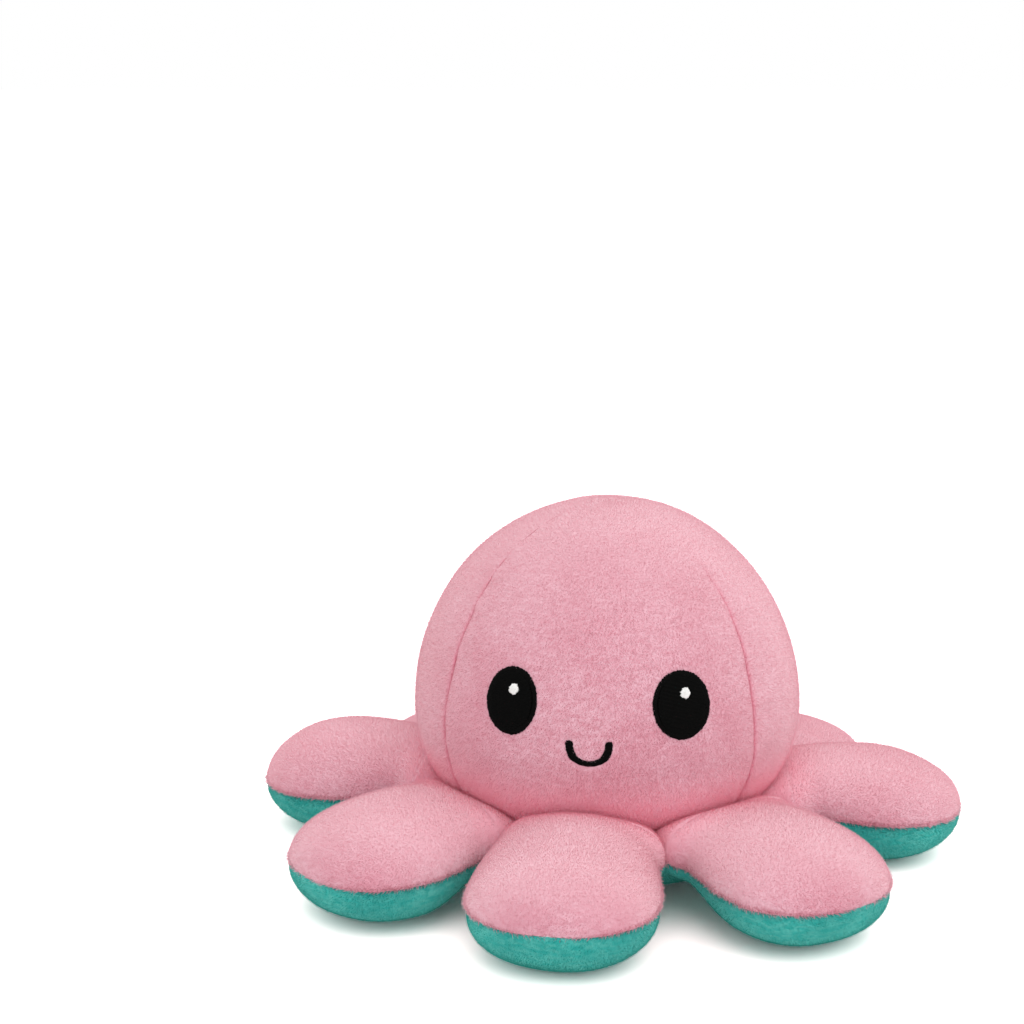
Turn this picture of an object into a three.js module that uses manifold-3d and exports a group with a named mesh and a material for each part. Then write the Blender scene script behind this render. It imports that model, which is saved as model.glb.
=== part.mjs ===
// A reversible plush octopus, standing on its arms with the pink side out.
// Millimetres, +Z up. The face looks towards -Y, and the origin is on the table under the head.
// The head is a thick stuffed dome with a pocket below: a second head, in teal plush with a face of its
// own, is folded up into that pocket. Pushing it down through the mouth turns the toy inside out.
// Eight stuffed arms lie round a ring of plush, pink above and teal below, each hinged at its root seam.
import * as THREE from "three";
import Module from "manifold-3d";
import { mergeVertices } from "three/addons/utils/BufferGeometryUtils.js";

const wasm = await Module();
wasm.setup();

// Fabric and sewing
const fabric = 2; // plush backing and pile together
const fillGap = 0.5; // between a cover and its stuffing
const seamGap = 0.4; // between two covers sewn edge to edge
const seamDepth = 1.2; // how far a seam pulls a panel in
const footFlat = 0.5; // how far a soft underside is pressed flat by the table

// Arms
const armLength = 47.8;
const rightArmLength = 50.6;
const leftArmLength = 52.5;
const armHalfWidth = 24.8;
const armSpare = 1.2; // left beside an arm's root, half the gap to its neighbour
const armSeamRootHeight = 17.3;
const armSeamTipHeight = 14.8;
const armRootRise = 9.6; // top of the root above the seam
const frontArmRise = 14.2; // top of the arm above the seam
const sideArmRise = 13.8;
const backArmRise = 9.8;
const armRootDrop = 7.2; // underside of the root below the seam
const hingeGap = 0.5; // between the ring and an arm's root

// Outer head, from the crease where it is sewn to the ring
const headRadius = 54.4;
const headOverhang = 10.4; // of the head beyond the crease
const creaseDepth = 5.9; // of the crease below the arms' roots
const headWaistRise = 24.5; // of the widest place above the crease
const headDomeRise = 58.5; // of the crown above the widest place
const gatherRadius = 1.6; // of the stitch where four panels meet

// Ring between the head and the arms
const ringWidth = 7;
const ringTopDrop = 0.9; // of the ring's edge below the arms' roots
const mouthRoll = 13; // from the pocket's mouth out to the foot
const mouthHeight = 9;

// Pocket, lined by the second head
const sideFill = 27.4; // from the outer head in to the pocket
const topFill = 34;
const pocketWaistRise = 19; // of the straight wall's top above the crease
const mouthNarrowing = 4;

// Embroidered face
const eyeHalfWidth = 7.8;
const eyeHalfHeight = 8.8;
const eyeRise = 13.3; // above the head's widest place
const glintRadius = 1.35;
const glintAside = 0.8;
const glintRise = 3.1;
const smileHalfWidth = 5.2;
const smileDepth = 5.9;
const smileRise = 4; // of its ends above the head's widest place
const threadWidth = 1.5; // of a satin-stitched line
const threadRim = 0.6; // how proud embroidery stands at its edge
const threadCrown = 1.1; // and at its middle
const threadGap = 0.35;

// Second face, inside the pocket
const pocketEyeHalfWidth = 6;
const pocketEyeHalfHeight = 6.6;
const pocketEyeDrop = 23; // below the pocket's top
const pocketGlintRadius = 1.1;
const frownHalfWidth = 4;
const frownHeight = 4;
const frownDrop = 37;

// Bearings run from the face (-Y) towards +X
const degree = Math.PI / 180;
const seamBearings = [-51, 51, 129, 231].map((angle) => angle * degree);
const armBearings = [-5, 44, 98, 137.75, 177.5, 217.25, 257, 310.5].map((angle) => angle * degree);
const eyeBearing = 25 * degree;
const pocketEyeBearing = 24 * degree;
const browSlant = 14 * degree;
const seamFade = 13 * degree; // how far from a seam its pull is felt
const armDroop = 11 * degree; // how far an arm can hang below its rest

// Shares of an arm's length, an eye's height and the pocket's wall
const armWidestShare = 0.53;
const armCrownShare = 0.38;
const sideArmCrownShare = 0.46;
const armBellyShare = 0.5;
const nosePower = 2.3; // 2 makes an arm's nose oval, and more makes it blunter
const browShare = 0.42;
const pocketDomeShare = 0.6;

// Facets
const panelColumns = 8;
const panelRows = 9;
const linerColumns = 5;
const linerRows = 7;
const armStations = 9;
const armStationPower = 1.15; // spreads the stations near the root
const armColumns = 8;
const ringRows = 3;
const eyeSpokes = 16;
const glintSpokes = 9;
const lineSteps = 10;

const plush = { roughness: 0.95, metalness: 0 };
const thread = { roughness: 0.6, metalness: 0 };
const pinkPlush = new THREE.MeshStandardMaterial({ color: 0xeb9fb8, ...plush });
const tealPlush = new THREE.MeshStandardMaterial({ color: 0x45b8a6, ...plush });
const blackThread = new THREE.MeshStandardMaterial({ color: 0x101010, ...thread });
const whiteThread = new THREE.MeshStandardMaterial({ color: 0xf2f0ef, ...thread });
const whiteFill = new THREE.MeshStandardMaterial({ color: 0xf4f2ec, ...plush });

// The arms were stuffed unevenly, so they come in four shapes.
const frontArm = { length: armLength, peakRise: frontArmRise, crownShare: armCrownShare };
const rightArm = { length: rightArmLength, peakRise: sideArmRise, crownShare: sideArmCrownShare };
const backArm = { length: armLength, peakRise: backArmRise, crownShare: armCrownShare };
const leftArm = { length: leftArmLength, peakRise: sideArmRise, crownShare: sideArmCrownShare };
const armShapes = [frontArm, frontArm, rightArm, backArm, backArm, backArm, leftArm, frontArm];

// Places worked out from the sizes above
const fullTurn = 2 * Math.PI;
const creaseRadius = headRadius - headOverhang;
const ringEdgeRadius = creaseRadius + ringWidth - hingeGap;
const armRootRadius = creaseRadius + ringWidth;
const armSpacings = armBearings.map((bearing, k) => (armBearings[k + 1] ?? armBearings[0] + fullTurn) - bearing);
const armRootHalfWidth = armRootRadius * Math.tan(Math.min(...armSpacings) / 2) - armSpare;
const armRootTop = armSeamRootHeight + armRootRise; // the hinge line is here, along the root's top
const creaseHeight = armRootTop - creaseDepth;
const headWaistHeight = creaseHeight + headWaistRise;
const headTop = headWaistHeight + headDomeRise;
const pocketRadius = headRadius - sideFill;
const pocketTop = headTop - topFill;
const pocketWaistHeight = creaseHeight + pocketWaistRise;
const mouthRadius = pocketRadius - mouthNarrowing;
const footRadius = mouthRadius + mouthRoll;

// The pocket's flat facets bow in from its round wall, so its embroidery stands further off it.
const bow = (radius, facetTurn) => radius * (1 - Math.cos(facetTurn / 2));
const columnBow = bow(pocketRadius, (seamBearings[1] - seamBearings[0]) / linerColumns);
const rowBow = bow(pocketTop - pocketWaistHeight, fullTurn / 4 / (linerRows * pocketDomeShare));
const pocketThreadGap = threadGap + columnBow + rowBow;

const toy = new THREE.Group();

const lerp = (a, b, k) => a + (b - a) * k;
const shares = (count) => Array.from({ length: count + 1 }, (_, i) => i / count);
const spokes = (count) => shares(count).slice(0, -1);

/** A point at a bearing, radius and height, moved sideways across that bearing. */
function place(bearing, radius, height, aside = 0) {
  const sine = Math.sin(bearing);
  const cosine = Math.cos(bearing);
  return new THREE.Vector3(radius * sine + aside * cosine, aside * sine - radius * cosine, height);
}

function add(name, geometry, material) {
  const mesh = new THREE.Mesh(geometry, material);
  mesh.name = name;
  toy.add(mesh);
}

/** One geometry from triangles given as corner points. Collapsed triangles are dropped. */
function closed(triangles) {
  const nearness = 1e-6 * headRadius;
  const wide = ([a, b, c]) => Math.min(a.distanceTo(b), b.distanceTo(c), c.distanceTo(a)) > nearness;
  const geometry = new THREE.BufferGeometry().setFromPoints(triangles.filter(wide).flat());
  return mergeVertices(geometry, nearness);
}

/** The two triangles of a four-sided facet. */
function facet(a, b, c, d) {
  return [
    [a, b, c],
    [a, c, d],
  ];
}

/** A sheet with thickness, from two grids of points [row][column]. A sheet that wraps has no side edges. */
function sheet(face, back, wraps = false) {
  const triangles = [];
  const rows = face.length - 1;
  const columns = face[0].length - 1;
  for (let i = 0; i < rows; i++) {
    for (let j = 0; j < columns; j++) {
      triangles.push(...facet(face[i][j], face[i + 1][j], face[i + 1][j + 1], face[i][j + 1]));
      triangles.push(...facet(back[i][j], back[i][j + 1], back[i + 1][j + 1], back[i + 1][j]));
    }
    if (!wraps) {
      triangles.push(...facet(face[i][0], back[i][0], back[i + 1][0], face[i + 1][0]));
      triangles.push(...facet(face[i][columns], face[i + 1][columns], back[i + 1][columns], back[i][columns]));
    }
  }
  for (let j = 0; j < columns; j++) {
    triangles.push(...facet(face[0][j], face[0][j + 1], back[0][j + 1], back[0][j]));
    triangles.push(...facet(face[rows][j], back[rows][j], back[rows][j + 1], face[rows][j + 1]));
  }
  return closed(triangles);
}

/** A solid skinned over closed loops of points, with its ends drawn in to their middles. */
function skinned(loops) {
  const triangles = [];
  const count = loops[0].length;
  const next = (j) => (j + 1) % count;
  loops.slice(1).forEach((loop, i) => {
    for (let j = 0; j < count; j++) {
      triangles.push(...facet(loops[i][j], loop[j], loop[next(j)], loops[i][next(j)]));
    }
  });
  const middle = (loop) => loop.reduce((sum, p) => sum.add(p), new THREE.Vector3()).divideScalar(count);
  const first = loops[0];
  const last = loops[loops.length - 1];
  const start = middle(first);
  const end = middle(last);
  for (let j = 0; j < count; j++) {
    triangles.push([start, first[j], first[next(j)]]);
    triangles.push([end, last[next(j)], last[j]]);
  }
  return closed(triangles);
}

/** What a geometry keeps above the table. */
function pressedFlat(geometry) {
  const vertProperties = geometry.attributes.position.array;
  const triVerts = new Uint32Array(geometry.index.array);
  const solid = new wasm.Manifold(new wasm.Mesh({ numProp: 3, vertProperties, triVerts }));
  const mesh = solid.trimByPlane([0, 0, 1], 0).getMesh();
  const pressed = new THREE.BufferGeometry();
  pressed.setAttribute("position", new THREE.BufferAttribute(new Float32Array(mesh.vertProperties), 3));
  return pressed.setIndex(new THREE.BufferAttribute(new Uint32Array(mesh.triVerts), 1));
}

/** The turn from the nearest of some bearings to this one. */
function turnFromNearest(bearing, bearings) {
  const signed = (turn) => turn - fullTurn * Math.round(turn / fullTurn);
  const turns = bearings.map((other) => signed(bearing - other));
  return turns.reduce((a, b) => (Math.abs(b) < Math.abs(a) ? b : a));
}

/** How far the seams between panels pull a wall in, most on a seam and halfway along it. */
function seamPull(sweep, bearing) {
  const away = turnFromNearest(bearing, seamBearings) / seamFade;
  return seamDepth * Math.exp(-away * away) * Math.sin(Math.PI * sweep);
}

/** Radius and height on the outer head, from its crown (sweep 0) to the crease (1), inset from its face. */
function headPoint(sweep, bearing, inset) {
  const crown = Math.asin(gatherRadius / headRadius);
  const crease = Math.PI - Math.asin(creaseRadius / headRadius);
  const angle = lerp(crown, crease, sweep);
  const rise = angle < Math.PI / 2 ? headDomeRise : headWaistRise / -Math.cos(crease);
  const normal = new THREE.Vector2(Math.sin(angle) / headRadius, Math.cos(angle) / rise).normalize();
  const depth = inset + seamPull(sweep, bearing);
  return [
    headRadius * Math.sin(angle) - depth * normal.x,
    headWaistHeight + rise * Math.cos(angle) - depth * normal.y,
  ];
}

/** Radius and height on the pocket's wall, from its top (sweep 0) to its mouth (1), inset from the hollow. */
function pocketPoint(sweep, bearing, inset) {
  const depth = inset + seamPull(sweep, bearing);
  if (sweep < pocketDomeShare) {
    const crown = Math.asin(gatherRadius / pocketRadius);
    const angle = lerp(crown, Math.PI / 2, sweep / pocketDomeShare);
    const rise = pocketTop - pocketWaistHeight;
    const normal = new THREE.Vector2(Math.sin(angle) / pocketRadius, Math.cos(angle) / rise).normalize();
    return [
      pocketRadius * Math.sin(angle) + depth * normal.x,
      pocketWaistHeight + rise * Math.cos(angle) + depth * normal.y,
    ];
  }
  const down = (sweep - pocketDomeShare) / (1 - pocketDomeShare);
  return [
    lerp(pocketRadius, mouthRadius, THREE.MathUtils.smoothstep(down, 0, 1)) + depth,
    lerp(pocketWaistHeight, mouthHeight, down),
  ];
}

/** The four sewn panels of a head. The wall's face and back are insets of its points. */
function headPanels(title, pointAt, rows, columns, [face, back], material) {
  ["front", "right", "back", "left"].forEach((side, k) => {
    const from = seamBearings[k];
    const to = seamBearings[k + 1] ?? seamBearings[0] + fullTurn;
    const grid = (inset) =>
      shares(rows).map((sweep) => {
        const [radius] = pointAt(sweep, from, inset);
        const edge = Math.asin(seamGap / 2 / radius);
        return shares(columns).map((across) => {
          const bearing = lerp(from + edge, to - edge, across);
          return place(bearing, ...pointAt(sweep, bearing, inset));
        });
      });
    add(`${title}_${side}_panel`, sheet(grid(face), grid(back)), material);
  });
}

/** A limb's swell at a share of its length: from a root value to a peak, and round to nothing at its nose. */
function swell(share, root, peak, peakShare) {
  if (share < peakShare) {
    return lerp(root, peak, Math.sin((Math.PI / 2) * (share / peakShare)) ** 2);
  }
  const beyond = (share - peakShare) / (1 - peakShare);
  return peak * Math.sqrt(1 - beyond ** nosePower);
}

const armSeamHeight = (share) => lerp(armSeamRootHeight, armSeamTipHeight, share);
const armDrop = armSeamHeight(armBellyShare) + footFlat;

/** A point on an arm's skin: a turn of 0 to 1 crosses its top and 1 to 2 its underside. */
function armPoint({ length, peakRise, crownShare }, bearing, share, turn, inset, lift) {
  const angle = Math.PI * turn;
  const width = swell(share, armRootHalfWidth, armHalfWidth, armWidestShare) * (1 - inset / armHalfWidth);
  const rise =
    turn <= 1
      ? swell(share, armRootRise, peakRise, crownShare) * (1 - inset / peakRise)
      : swell(share, armRootDrop, armDrop, armBellyShare) * (1 - inset / armDrop);
  const height = armSeamHeight(share) + rise * Math.sin(angle) + lift;
  // The root's face leans back under its hinge, so that the arm can droop.
  const lean = Math.max(0, armRootTop - height) * Math.tan(armDroop) * (1 - share) ** 4;
  return place(bearing, armRootRadius + lean + share * (length - inset), height, -width * Math.cos(angle));
}

function arm(number, shape, bearing) {
  const stations = shares(armStations).map((k) => Math.sin((Math.PI / 2) * k) ** armStationPower);
  const cover = (start, lift) => {
    const grid = (inset) =>
      stations.map((share) =>
        shares(armColumns).map((k) => armPoint(shape, bearing, share, start + k, inset, lift)),
      );
    return sheet(grid(0), grid(fabric));
  };
  const loops = stations
    .slice(0, -1)
    .map((share) => spokes(armColumns).map((k) => armPoint(shape, bearing, share, 2 * k, fabric + fillGap, 0)));
  add(`tentacle_${number}_top_cover`, cover(0, seamGap / 2), pinkPlush);
  add(`tentacle_${number}_bottom_cover`, pressedFlat(cover(1, -seamGap / 2)), tealPlush);
  add(`tentacle_${number}_stuffing`, skinned(loops), whiteFill);
}

/** The ring's outer edge at a bearing: a flat before each arm, and thin webs between the arms. */
function ringEdge(bearing) {
  const turn = turnFromNearest(bearing, armBearings);
  const aside = (ringEdgeRadius * Math.tan(turn)) / armRootHalfWidth;
  const fullness = Math.sqrt(Math.max(0, 1 - aside * aside));
  const least = fabric + seamGap / 2;
  return {
    radius: ringEdgeRadius / Math.cos(turn),
    top: armSeamRootHeight + Math.max(least, armRootRise * fullness - ringTopDrop),
    bottom: armSeamRootHeight - Math.max(least, armRootDrop * fullness),
  };
}

/** The ring's upper face at a radius: its height, and how steep it is. */
function ringAbove(bearing, radius) {
  const edge = ringEdge(bearing);
  const start = creaseRadius - seamGap;
  const base = creaseHeight - seamGap;
  const share = (radius - start) / (edge.radius - start);
  const sag = 4 * seamDepth * share * (1 - share);
  const slope = (edge.top - base - 4 * seamDepth * (1 - 2 * share)) / (edge.radius - start);
  return { height: lerp(base, edge.top, share) - sag, steepness: Math.hypot(1, slope) };
}

/** The ring's underside at a radius outside its foot: its height, and how steep it is. */
function ringBelow(bearing, radius) {
  const edge = ringEdge(bearing);
  const reach = edge.radius - footRadius;
  const share = (radius - footRadius) / reach;
  const rise = edge.bottom + footFlat;
  return { height: rise * share * share - footFlat, steepness: Math.hypot(1, (2 * rise * share) / reach) };
}

/** The ring's underside inside its foot, rolling up into the mouth: from the foot (turn 0) to the mouth (1). */
function mouthPoint(turn, inset) {
  const angle = (Math.PI / 2) * turn;
  const middleHeight = mouthHeight - seamGap;
  return [
    footRadius - (mouthRoll - inset) * Math.sin(angle),
    middleHeight - (middleHeight + footFlat - inset) * Math.cos(angle),
  ];
}

/** The bearings of the panels' columns, all the way round. */
const columnBearings = seamBearings.flatMap((from, k) => {
  const to = seamBearings[k + 1] ?? seamBearings[0] + fullTurn;
  return spokes(panelColumns).map((across) => lerp(from, to, across));
});

function ring() {
  const all = [...columnBearings, columnBearings[0]];
  const turned = (profileAt) => {
    const profiles = all.map((bearing) => profileAt(bearing).map(([r, z]) => place(bearing, r, z)));
    return profiles[0].map((_, i) => profiles.map((profile) => profile[i]));
  };
  const above = (thickness) => (bearing) =>
    shares(ringRows).map((k) => {
      const radius = lerp(creaseRadius - seamGap, ringEdge(bearing).radius, k);
      const { height, steepness } = ringAbove(bearing, radius);
      const lowest = armSeamRootHeight + seamGap / 2;
      return [radius, Math.max(height - thickness * steepness, lowest)];
    });
  const below = (thickness) => (bearing) => {
    const outer = shares(ringRows).map((k) => {
      const radius = lerp(ringEdge(bearing).radius, footRadius, k);
      const { height, steepness } = ringBelow(bearing, radius);
      const highest = armSeamRootHeight - seamGap / 2;
      return [radius, Math.min(height + thickness * steepness, highest)];
    });
    const inner = shares(ringRows).map((k) => mouthPoint(k, thickness));
    return [...outer, ...inner.slice(1)];
  };
  add("ring_top_cover", sheet(turned(above(0)), turned(above(fabric)), true), pinkPlush);
  add("ring_bottom_cover", pressedFlat(sheet(turned(below(0)), turned(below(fabric)), true)), tealPlush);
}

/** The stuffing of the head and the ring: one dome, with the pocket left open under it. */
function headStuffing() {
  const inset = fabric + fillGap;
  const sideRadius = ringEdgeRadius - 2 * fabric;
  const profileAt = (bearing) => {
    const above = ringAbove(bearing, sideRadius);
    const below = ringBelow(bearing, sideRadius);
    return [
      ...shares(panelRows).map((sweep) => headPoint(sweep, bearing, inset)),
      [creaseRadius - seamGap - inset, creaseHeight - seamGap - inset],
      [sideRadius, above.height - fabric * above.steepness - fillGap],
      [sideRadius, below.height + fabric * below.steepness + fillGap],
      mouthPoint(0, inset),
      mouthPoint(1 / 2, inset),
      ...shares(linerRows).map((sweep) => pocketPoint(1 - sweep, bearing, inset)),
    ];
  };
  const profiles = columnBearings.map((bearing) => profileAt(bearing).map(([r, z]) => place(bearing, r, z)));
  const loops = profiles[0].map((_, i) => profiles.map((profile) => profile[i]));
  add("head_stuffing", skinned(loops), whiteFill);
}

/** The sweep at which a wall reaches a height, found by halving. */
function sweepAt(pointAt, height) {
  let low = 0;
  let high = 1;
  for (let i = 0; i < 30; i++) {
    const middle = (low + high) / 2;
    if (pointAt(middle, 0, 0)[1] > height) {
      low = middle;
    } else {
      high = middle;
    }
  }
  return low;
}

/** A point across and up from a place on a wall, standing proud of the fabric. */
function onWall(wall, across, up, proud) {
  const sweep = sweepAt(wall.pointAt, wall.height + up);
  const [radius] = wall.pointAt(sweep, 0, 0);
  const bearing = wall.bearing + (wall.isPocket ? -across : across) / radius;
  return place(bearing, ...wall.pointAt(sweep, bearing, -proud));
}

/** An embroidered patch. Its outline gives the reach from its middle at each angle. */
function patch(wall, outline, [middleAcross, middleUp], lift, count) {
  const ringShares = [1, 0.6, 0.1];
  const loop = (share, proud) =>
    spokes(count).map((k) => {
      const angle = fullTurn * k;
      const reach = outline(angle) * share;
      return onWall(wall, middleAcross + reach * Math.cos(angle), middleUp + reach * Math.sin(angle), proud);
    });
  const front = ringShares.map((share) => loop(share, lift + lerp(threadCrown, threadRim, share * share)));
  const back = ringShares.map((share) => loop(share, lift));
  return skinned([...front.reverse(), ...back]);
}

/** A satin-stitched half oval. Its bend is positive for a smile and negative for a frown. */
function stitchedArc(wall, halfWidth, bend, lift) {
  const loops = shares(lineSteps).map((k) => {
    const angle = Math.PI * k;
    const across = -Math.sign(bend) * halfWidth * Math.cos(angle);
    const up = -bend * Math.sin(angle);
    const normal = new THREE.Vector2(across / halfWidth, up / Math.abs(bend)).normalize();
    const corner = (side, proud) => {
      const reach = (side * threadWidth) / 2;
      return onWall(wall, across + normal.x * reach, up + normal.y * reach, lift + proud);
    };
    return [corner(-1, 0), corner(1, 0), corner(1, threadRim), corner(0, threadCrown), corner(-1, threadRim)];
  });
  return skinned(loops);
}

const oval = (halfWidth, halfHeight) => (angle) =>
  1 / Math.hypot(Math.cos(angle) / halfWidth, Math.sin(angle) / halfHeight);

/** An oval cut off by a slanting brow. */
const scowl = (halfWidth, halfHeight, slant) => (angle) => {
  const rise = Math.cos(slant) * Math.sin(angle) - Math.sin(slant) * Math.cos(angle);
  const brow = rise > 0 ? (browShare * halfHeight) / rise : Infinity;
  return Math.min(oval(halfWidth, halfHeight)(angle), brow);
};

const sides = { left: -1, right: 1 };

function happyFace() {
  const eye = oval(eyeHalfWidth, eyeHalfHeight);
  const glint = oval(glintRadius, glintRadius);
  Object.entries(sides).forEach(([side, sign]) => {
    const wall = { pointAt: headPoint, bearing: sign * eyeBearing, height: headWaistHeight + eyeRise };
    const glintLift = 2 * threadGap + threadCrown;
    add(`eye_${side}`, patch(wall, eye, [0, 0], threadGap, eyeSpokes), blackThread);
    const glintPlace = [glintAside, glintRise];
    add(`eye_glint_${side}`, patch(wall, glint, glintPlace, glintLift, glintSpokes), whiteThread);
  });
  const wall = { pointAt: headPoint, bearing: 0, height: headWaistHeight + smileRise };
  add("smile", stitchedArc(wall, smileHalfWidth, smileDepth, threadGap), blackThread);
}

function grumpyFace() {
  const glint = oval(pocketGlintRadius, pocketGlintRadius);
  const pocketWall = (bearing, drop) => ({
    pointAt: pocketPoint,
    bearing,
    height: pocketTop - drop,
    isPocket: true,
  });
  Object.entries(sides).forEach(([side, sign]) => {
    const wall = pocketWall(sign * pocketEyeBearing, pocketEyeDrop);
    const eye = scowl(pocketEyeHalfWidth, pocketEyeHalfHeight, -sign * browSlant);
    const glintLift = pocketThreadGap + threadCrown + threadGap;
    add(`pocket_eye_${side}`, patch(wall, eye, [0, 0], pocketThreadGap, eyeSpokes), blackThread);
    add(`pocket_eye_glint_${side}`, patch(wall, glint, [0, 0], glintLift, glintSpokes), whiteThread);
  });
  const wall = pocketWall(0, frownDrop);
  add("pocket_frown", stitchedArc(wall, frownHalfWidth, -frownHeight, pocketThreadGap), blackThread);
}

headPanels("head", headPoint, panelRows, panelColumns, [0, fabric], pinkPlush);
headPanels("pocket", pocketPoint, linerRows, linerColumns, [fabric, 0], tealPlush);
headStuffing();
ring();
happyFace();
grumpyFace();
armBearings.forEach((bearing, k) => arm(k + 1, armShapes[k], bearing));

export default toy;
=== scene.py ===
"""A reversible plush octopus, pink side out, made in cloth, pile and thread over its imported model."""

import logging
import math
from dataclasses import dataclass
from enum import Enum
from itertools import product
from typing import Callable

import bmesh
import bpy
import numpy as np
from mathutils import Matrix, Vector


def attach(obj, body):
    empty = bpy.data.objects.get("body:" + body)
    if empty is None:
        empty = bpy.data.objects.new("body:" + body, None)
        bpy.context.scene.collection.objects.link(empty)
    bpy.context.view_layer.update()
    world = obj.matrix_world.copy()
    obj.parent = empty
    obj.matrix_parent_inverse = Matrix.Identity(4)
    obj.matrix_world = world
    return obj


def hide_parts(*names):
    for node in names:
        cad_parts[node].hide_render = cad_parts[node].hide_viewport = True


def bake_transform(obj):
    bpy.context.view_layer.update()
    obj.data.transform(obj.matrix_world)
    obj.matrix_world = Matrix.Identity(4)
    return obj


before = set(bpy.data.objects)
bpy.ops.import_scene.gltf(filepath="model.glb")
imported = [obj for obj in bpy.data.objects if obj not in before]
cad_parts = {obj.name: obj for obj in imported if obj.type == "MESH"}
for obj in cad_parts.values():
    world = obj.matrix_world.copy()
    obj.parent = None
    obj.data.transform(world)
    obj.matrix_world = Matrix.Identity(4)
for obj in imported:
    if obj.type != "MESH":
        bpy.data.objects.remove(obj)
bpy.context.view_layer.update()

MM = 0.001
FABRIC = 1.6 * MM  # how thick a cover is
PILE_DEPTH = 0.4 * MM  # how far a cover lies below the ends of its pile
NOSE_POWER = 2.3  # 2 makes an arm's nose oval, and more makes it blunter
ROW_POWER = 1.15  # 1 spaces the rows down an arm evenly round its nose, and more crowds them at its root
FOOT_LIFT = 5 * MM  # how far the soft foot round the mouth hollows off the table
SIDES = ("front", "right", "back", "left")
SEAMS = (-51, 51, 129, 231)  # bearings of the seams before each side's panel, in degrees from the face
ROOT = "root"
log = logging.getLogger("plush_octopus")

Colour = tuple[float, float, float, float]
Field = np.ndarray  # one number for each point of a grid
Grid = np.ndarray  # rows x columns x 3
Marks = dict[str, np.ndarray]  # attributes of a piece's points, by name
Source = bpy.types.Node | bpy.types.NodeSocket  # a node stands for its first output


class Slot(Enum):
    """The record's material slots."""

    PINK = "pink_plush"
    TEAL = "teal_plush"
    BLACK = "black_thread"
    WHITE = "white_thread"
    FILL = "stuffing"


def linear(hex_colour: str) -> Colour:
    """Turns a written colour into the linear one that a shader takes.

    Args:
        hex_colour: an sRGB colour as #rrggbb.

    Returns:
        Red, green, blue and full alpha.
    """
    parts = [int(hex_colour[i : i + 2], 16) / 255 for i in (1, 3, 5)]
    red, green, blue = (c / 12.92 if c <= 0.04045 else ((c + 0.055) / 1.055) ** 2.4 for c in parts)
    return red, green, blue, 1.0


def blank_material(name: str) -> tuple[bpy.types.Material, bpy.types.NodeTree]:
    """A new material, and its tree with nothing in it.

    Args:
        name: the material's name.

    Returns:
        The material and its empty tree.
    """
    material = bpy.data.materials.new(name)
    material.use_nodes = True
    material.node_tree.nodes.clear()
    return material, material.node_tree


def add_node(tree: bpy.types.NodeTree, kind: str, inputs: dict | None = None, **settings) -> bpy.types.Node:
    """Adds a node to a shader or geometry tree.

    Args:
        tree: the tree that gets it.
        kind: the node's type.
        inputs: a value, or the node or socket to link from, for each input by name or number.
        settings: the node's own properties.

    Returns:
        The node.
    """
    node = tree.nodes.new(kind)
    for key, value in settings.items():
        setattr(node, key, value)
    for key, value in (inputs or {}).items():
        if isinstance(value, bpy.types.Node):
            value = value.outputs[0]
        if isinstance(value, bpy.types.NodeSocket):
            tree.links.new(value, node.inputs[key])
        else:
            node.inputs[key].default_value = value
    return node


def smooth(share: Field) -> Field:
    """Eases a share from 0 to 1, level at both ends."""
    held = np.clip(share, 0, 1)
    return held * held * (3 - 2 * held)


def relief(coordinates: np.ndarray, seed: int) -> Field:
    """Smooth random relief, the same at the same place on every run.

    Args:
        coordinates: ... x 3, counted in features.
        seed: picks one relief.

    Returns:
        Heights from -1 to 1.
    """
    base = np.floor(coordinates).astype(np.int64)
    part = coordinates - base
    part = part * part * (3 - 2 * part)
    total = np.zeros(coordinates.shape[:-1])
    for corner in product((0, 1), repeat=3):
        cell = base + corner
        key = cell[..., 0] * 73856093 ^ cell[..., 1] * 19349663 ^ cell[..., 2] * 83492791 ^ seed * 2654435
        key = (key ^ (key >> 13)) * 1274126177
        height = ((key ^ (key >> 16)) & 0xFFFF) / 32767.5 - 1
        total += height * np.prod(np.where(corner, part, 1 - part), axis=-1)
    return total


def grid_normals(grid: Grid) -> Grid:
    """Unit normals of a grid of points, by its own winding.

    Args:
        grid: the points.

    Returns:
        A normal for each point.
    """
    along = np.gradient(grid, axis=0)
    across = np.gradient(grid, axis=1)
    normals = np.cross(along, across)
    return normals / np.maximum(np.linalg.norm(normals, axis=-1, keepdims=True), 1e-12)


def nap_down(face: Grid) -> Grid:
    """Which way the nap lies: brushed down the rows of a cover."""
    nap = np.gradient(face, axis=0)
    return nap / np.maximum(np.linalg.norm(nap, axis=-1, keepdims=True), 1e-9)


def seam_distance(bearing: Field, radius: Field) -> Field:
    """How far a place on a head is from its nearest seam, along the wall.

    Args:
        bearing: from the face towards +X.
        radius: of the wall there.

    Returns:
        The distance.
    """
    apart = bearing[..., None] - np.radians(np.array(SEAMS))
    apart = np.abs(apart - 2 * np.pi * np.round(apart / (2 * np.pi)))
    return apart.min(axis=-1) * radius


def link(name: str, mesh: bpy.types.Mesh) -> bpy.types.Object:
    """Puts a mesh into the scene as an object at the origin.

    Args:
        name: the object's name.
        mesh: its mesh.

    Returns:
        The object.
    """
    piece = bpy.data.objects.new(name, mesh)
    bpy.context.scene.collection.objects.link(piece)
    return piece


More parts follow.
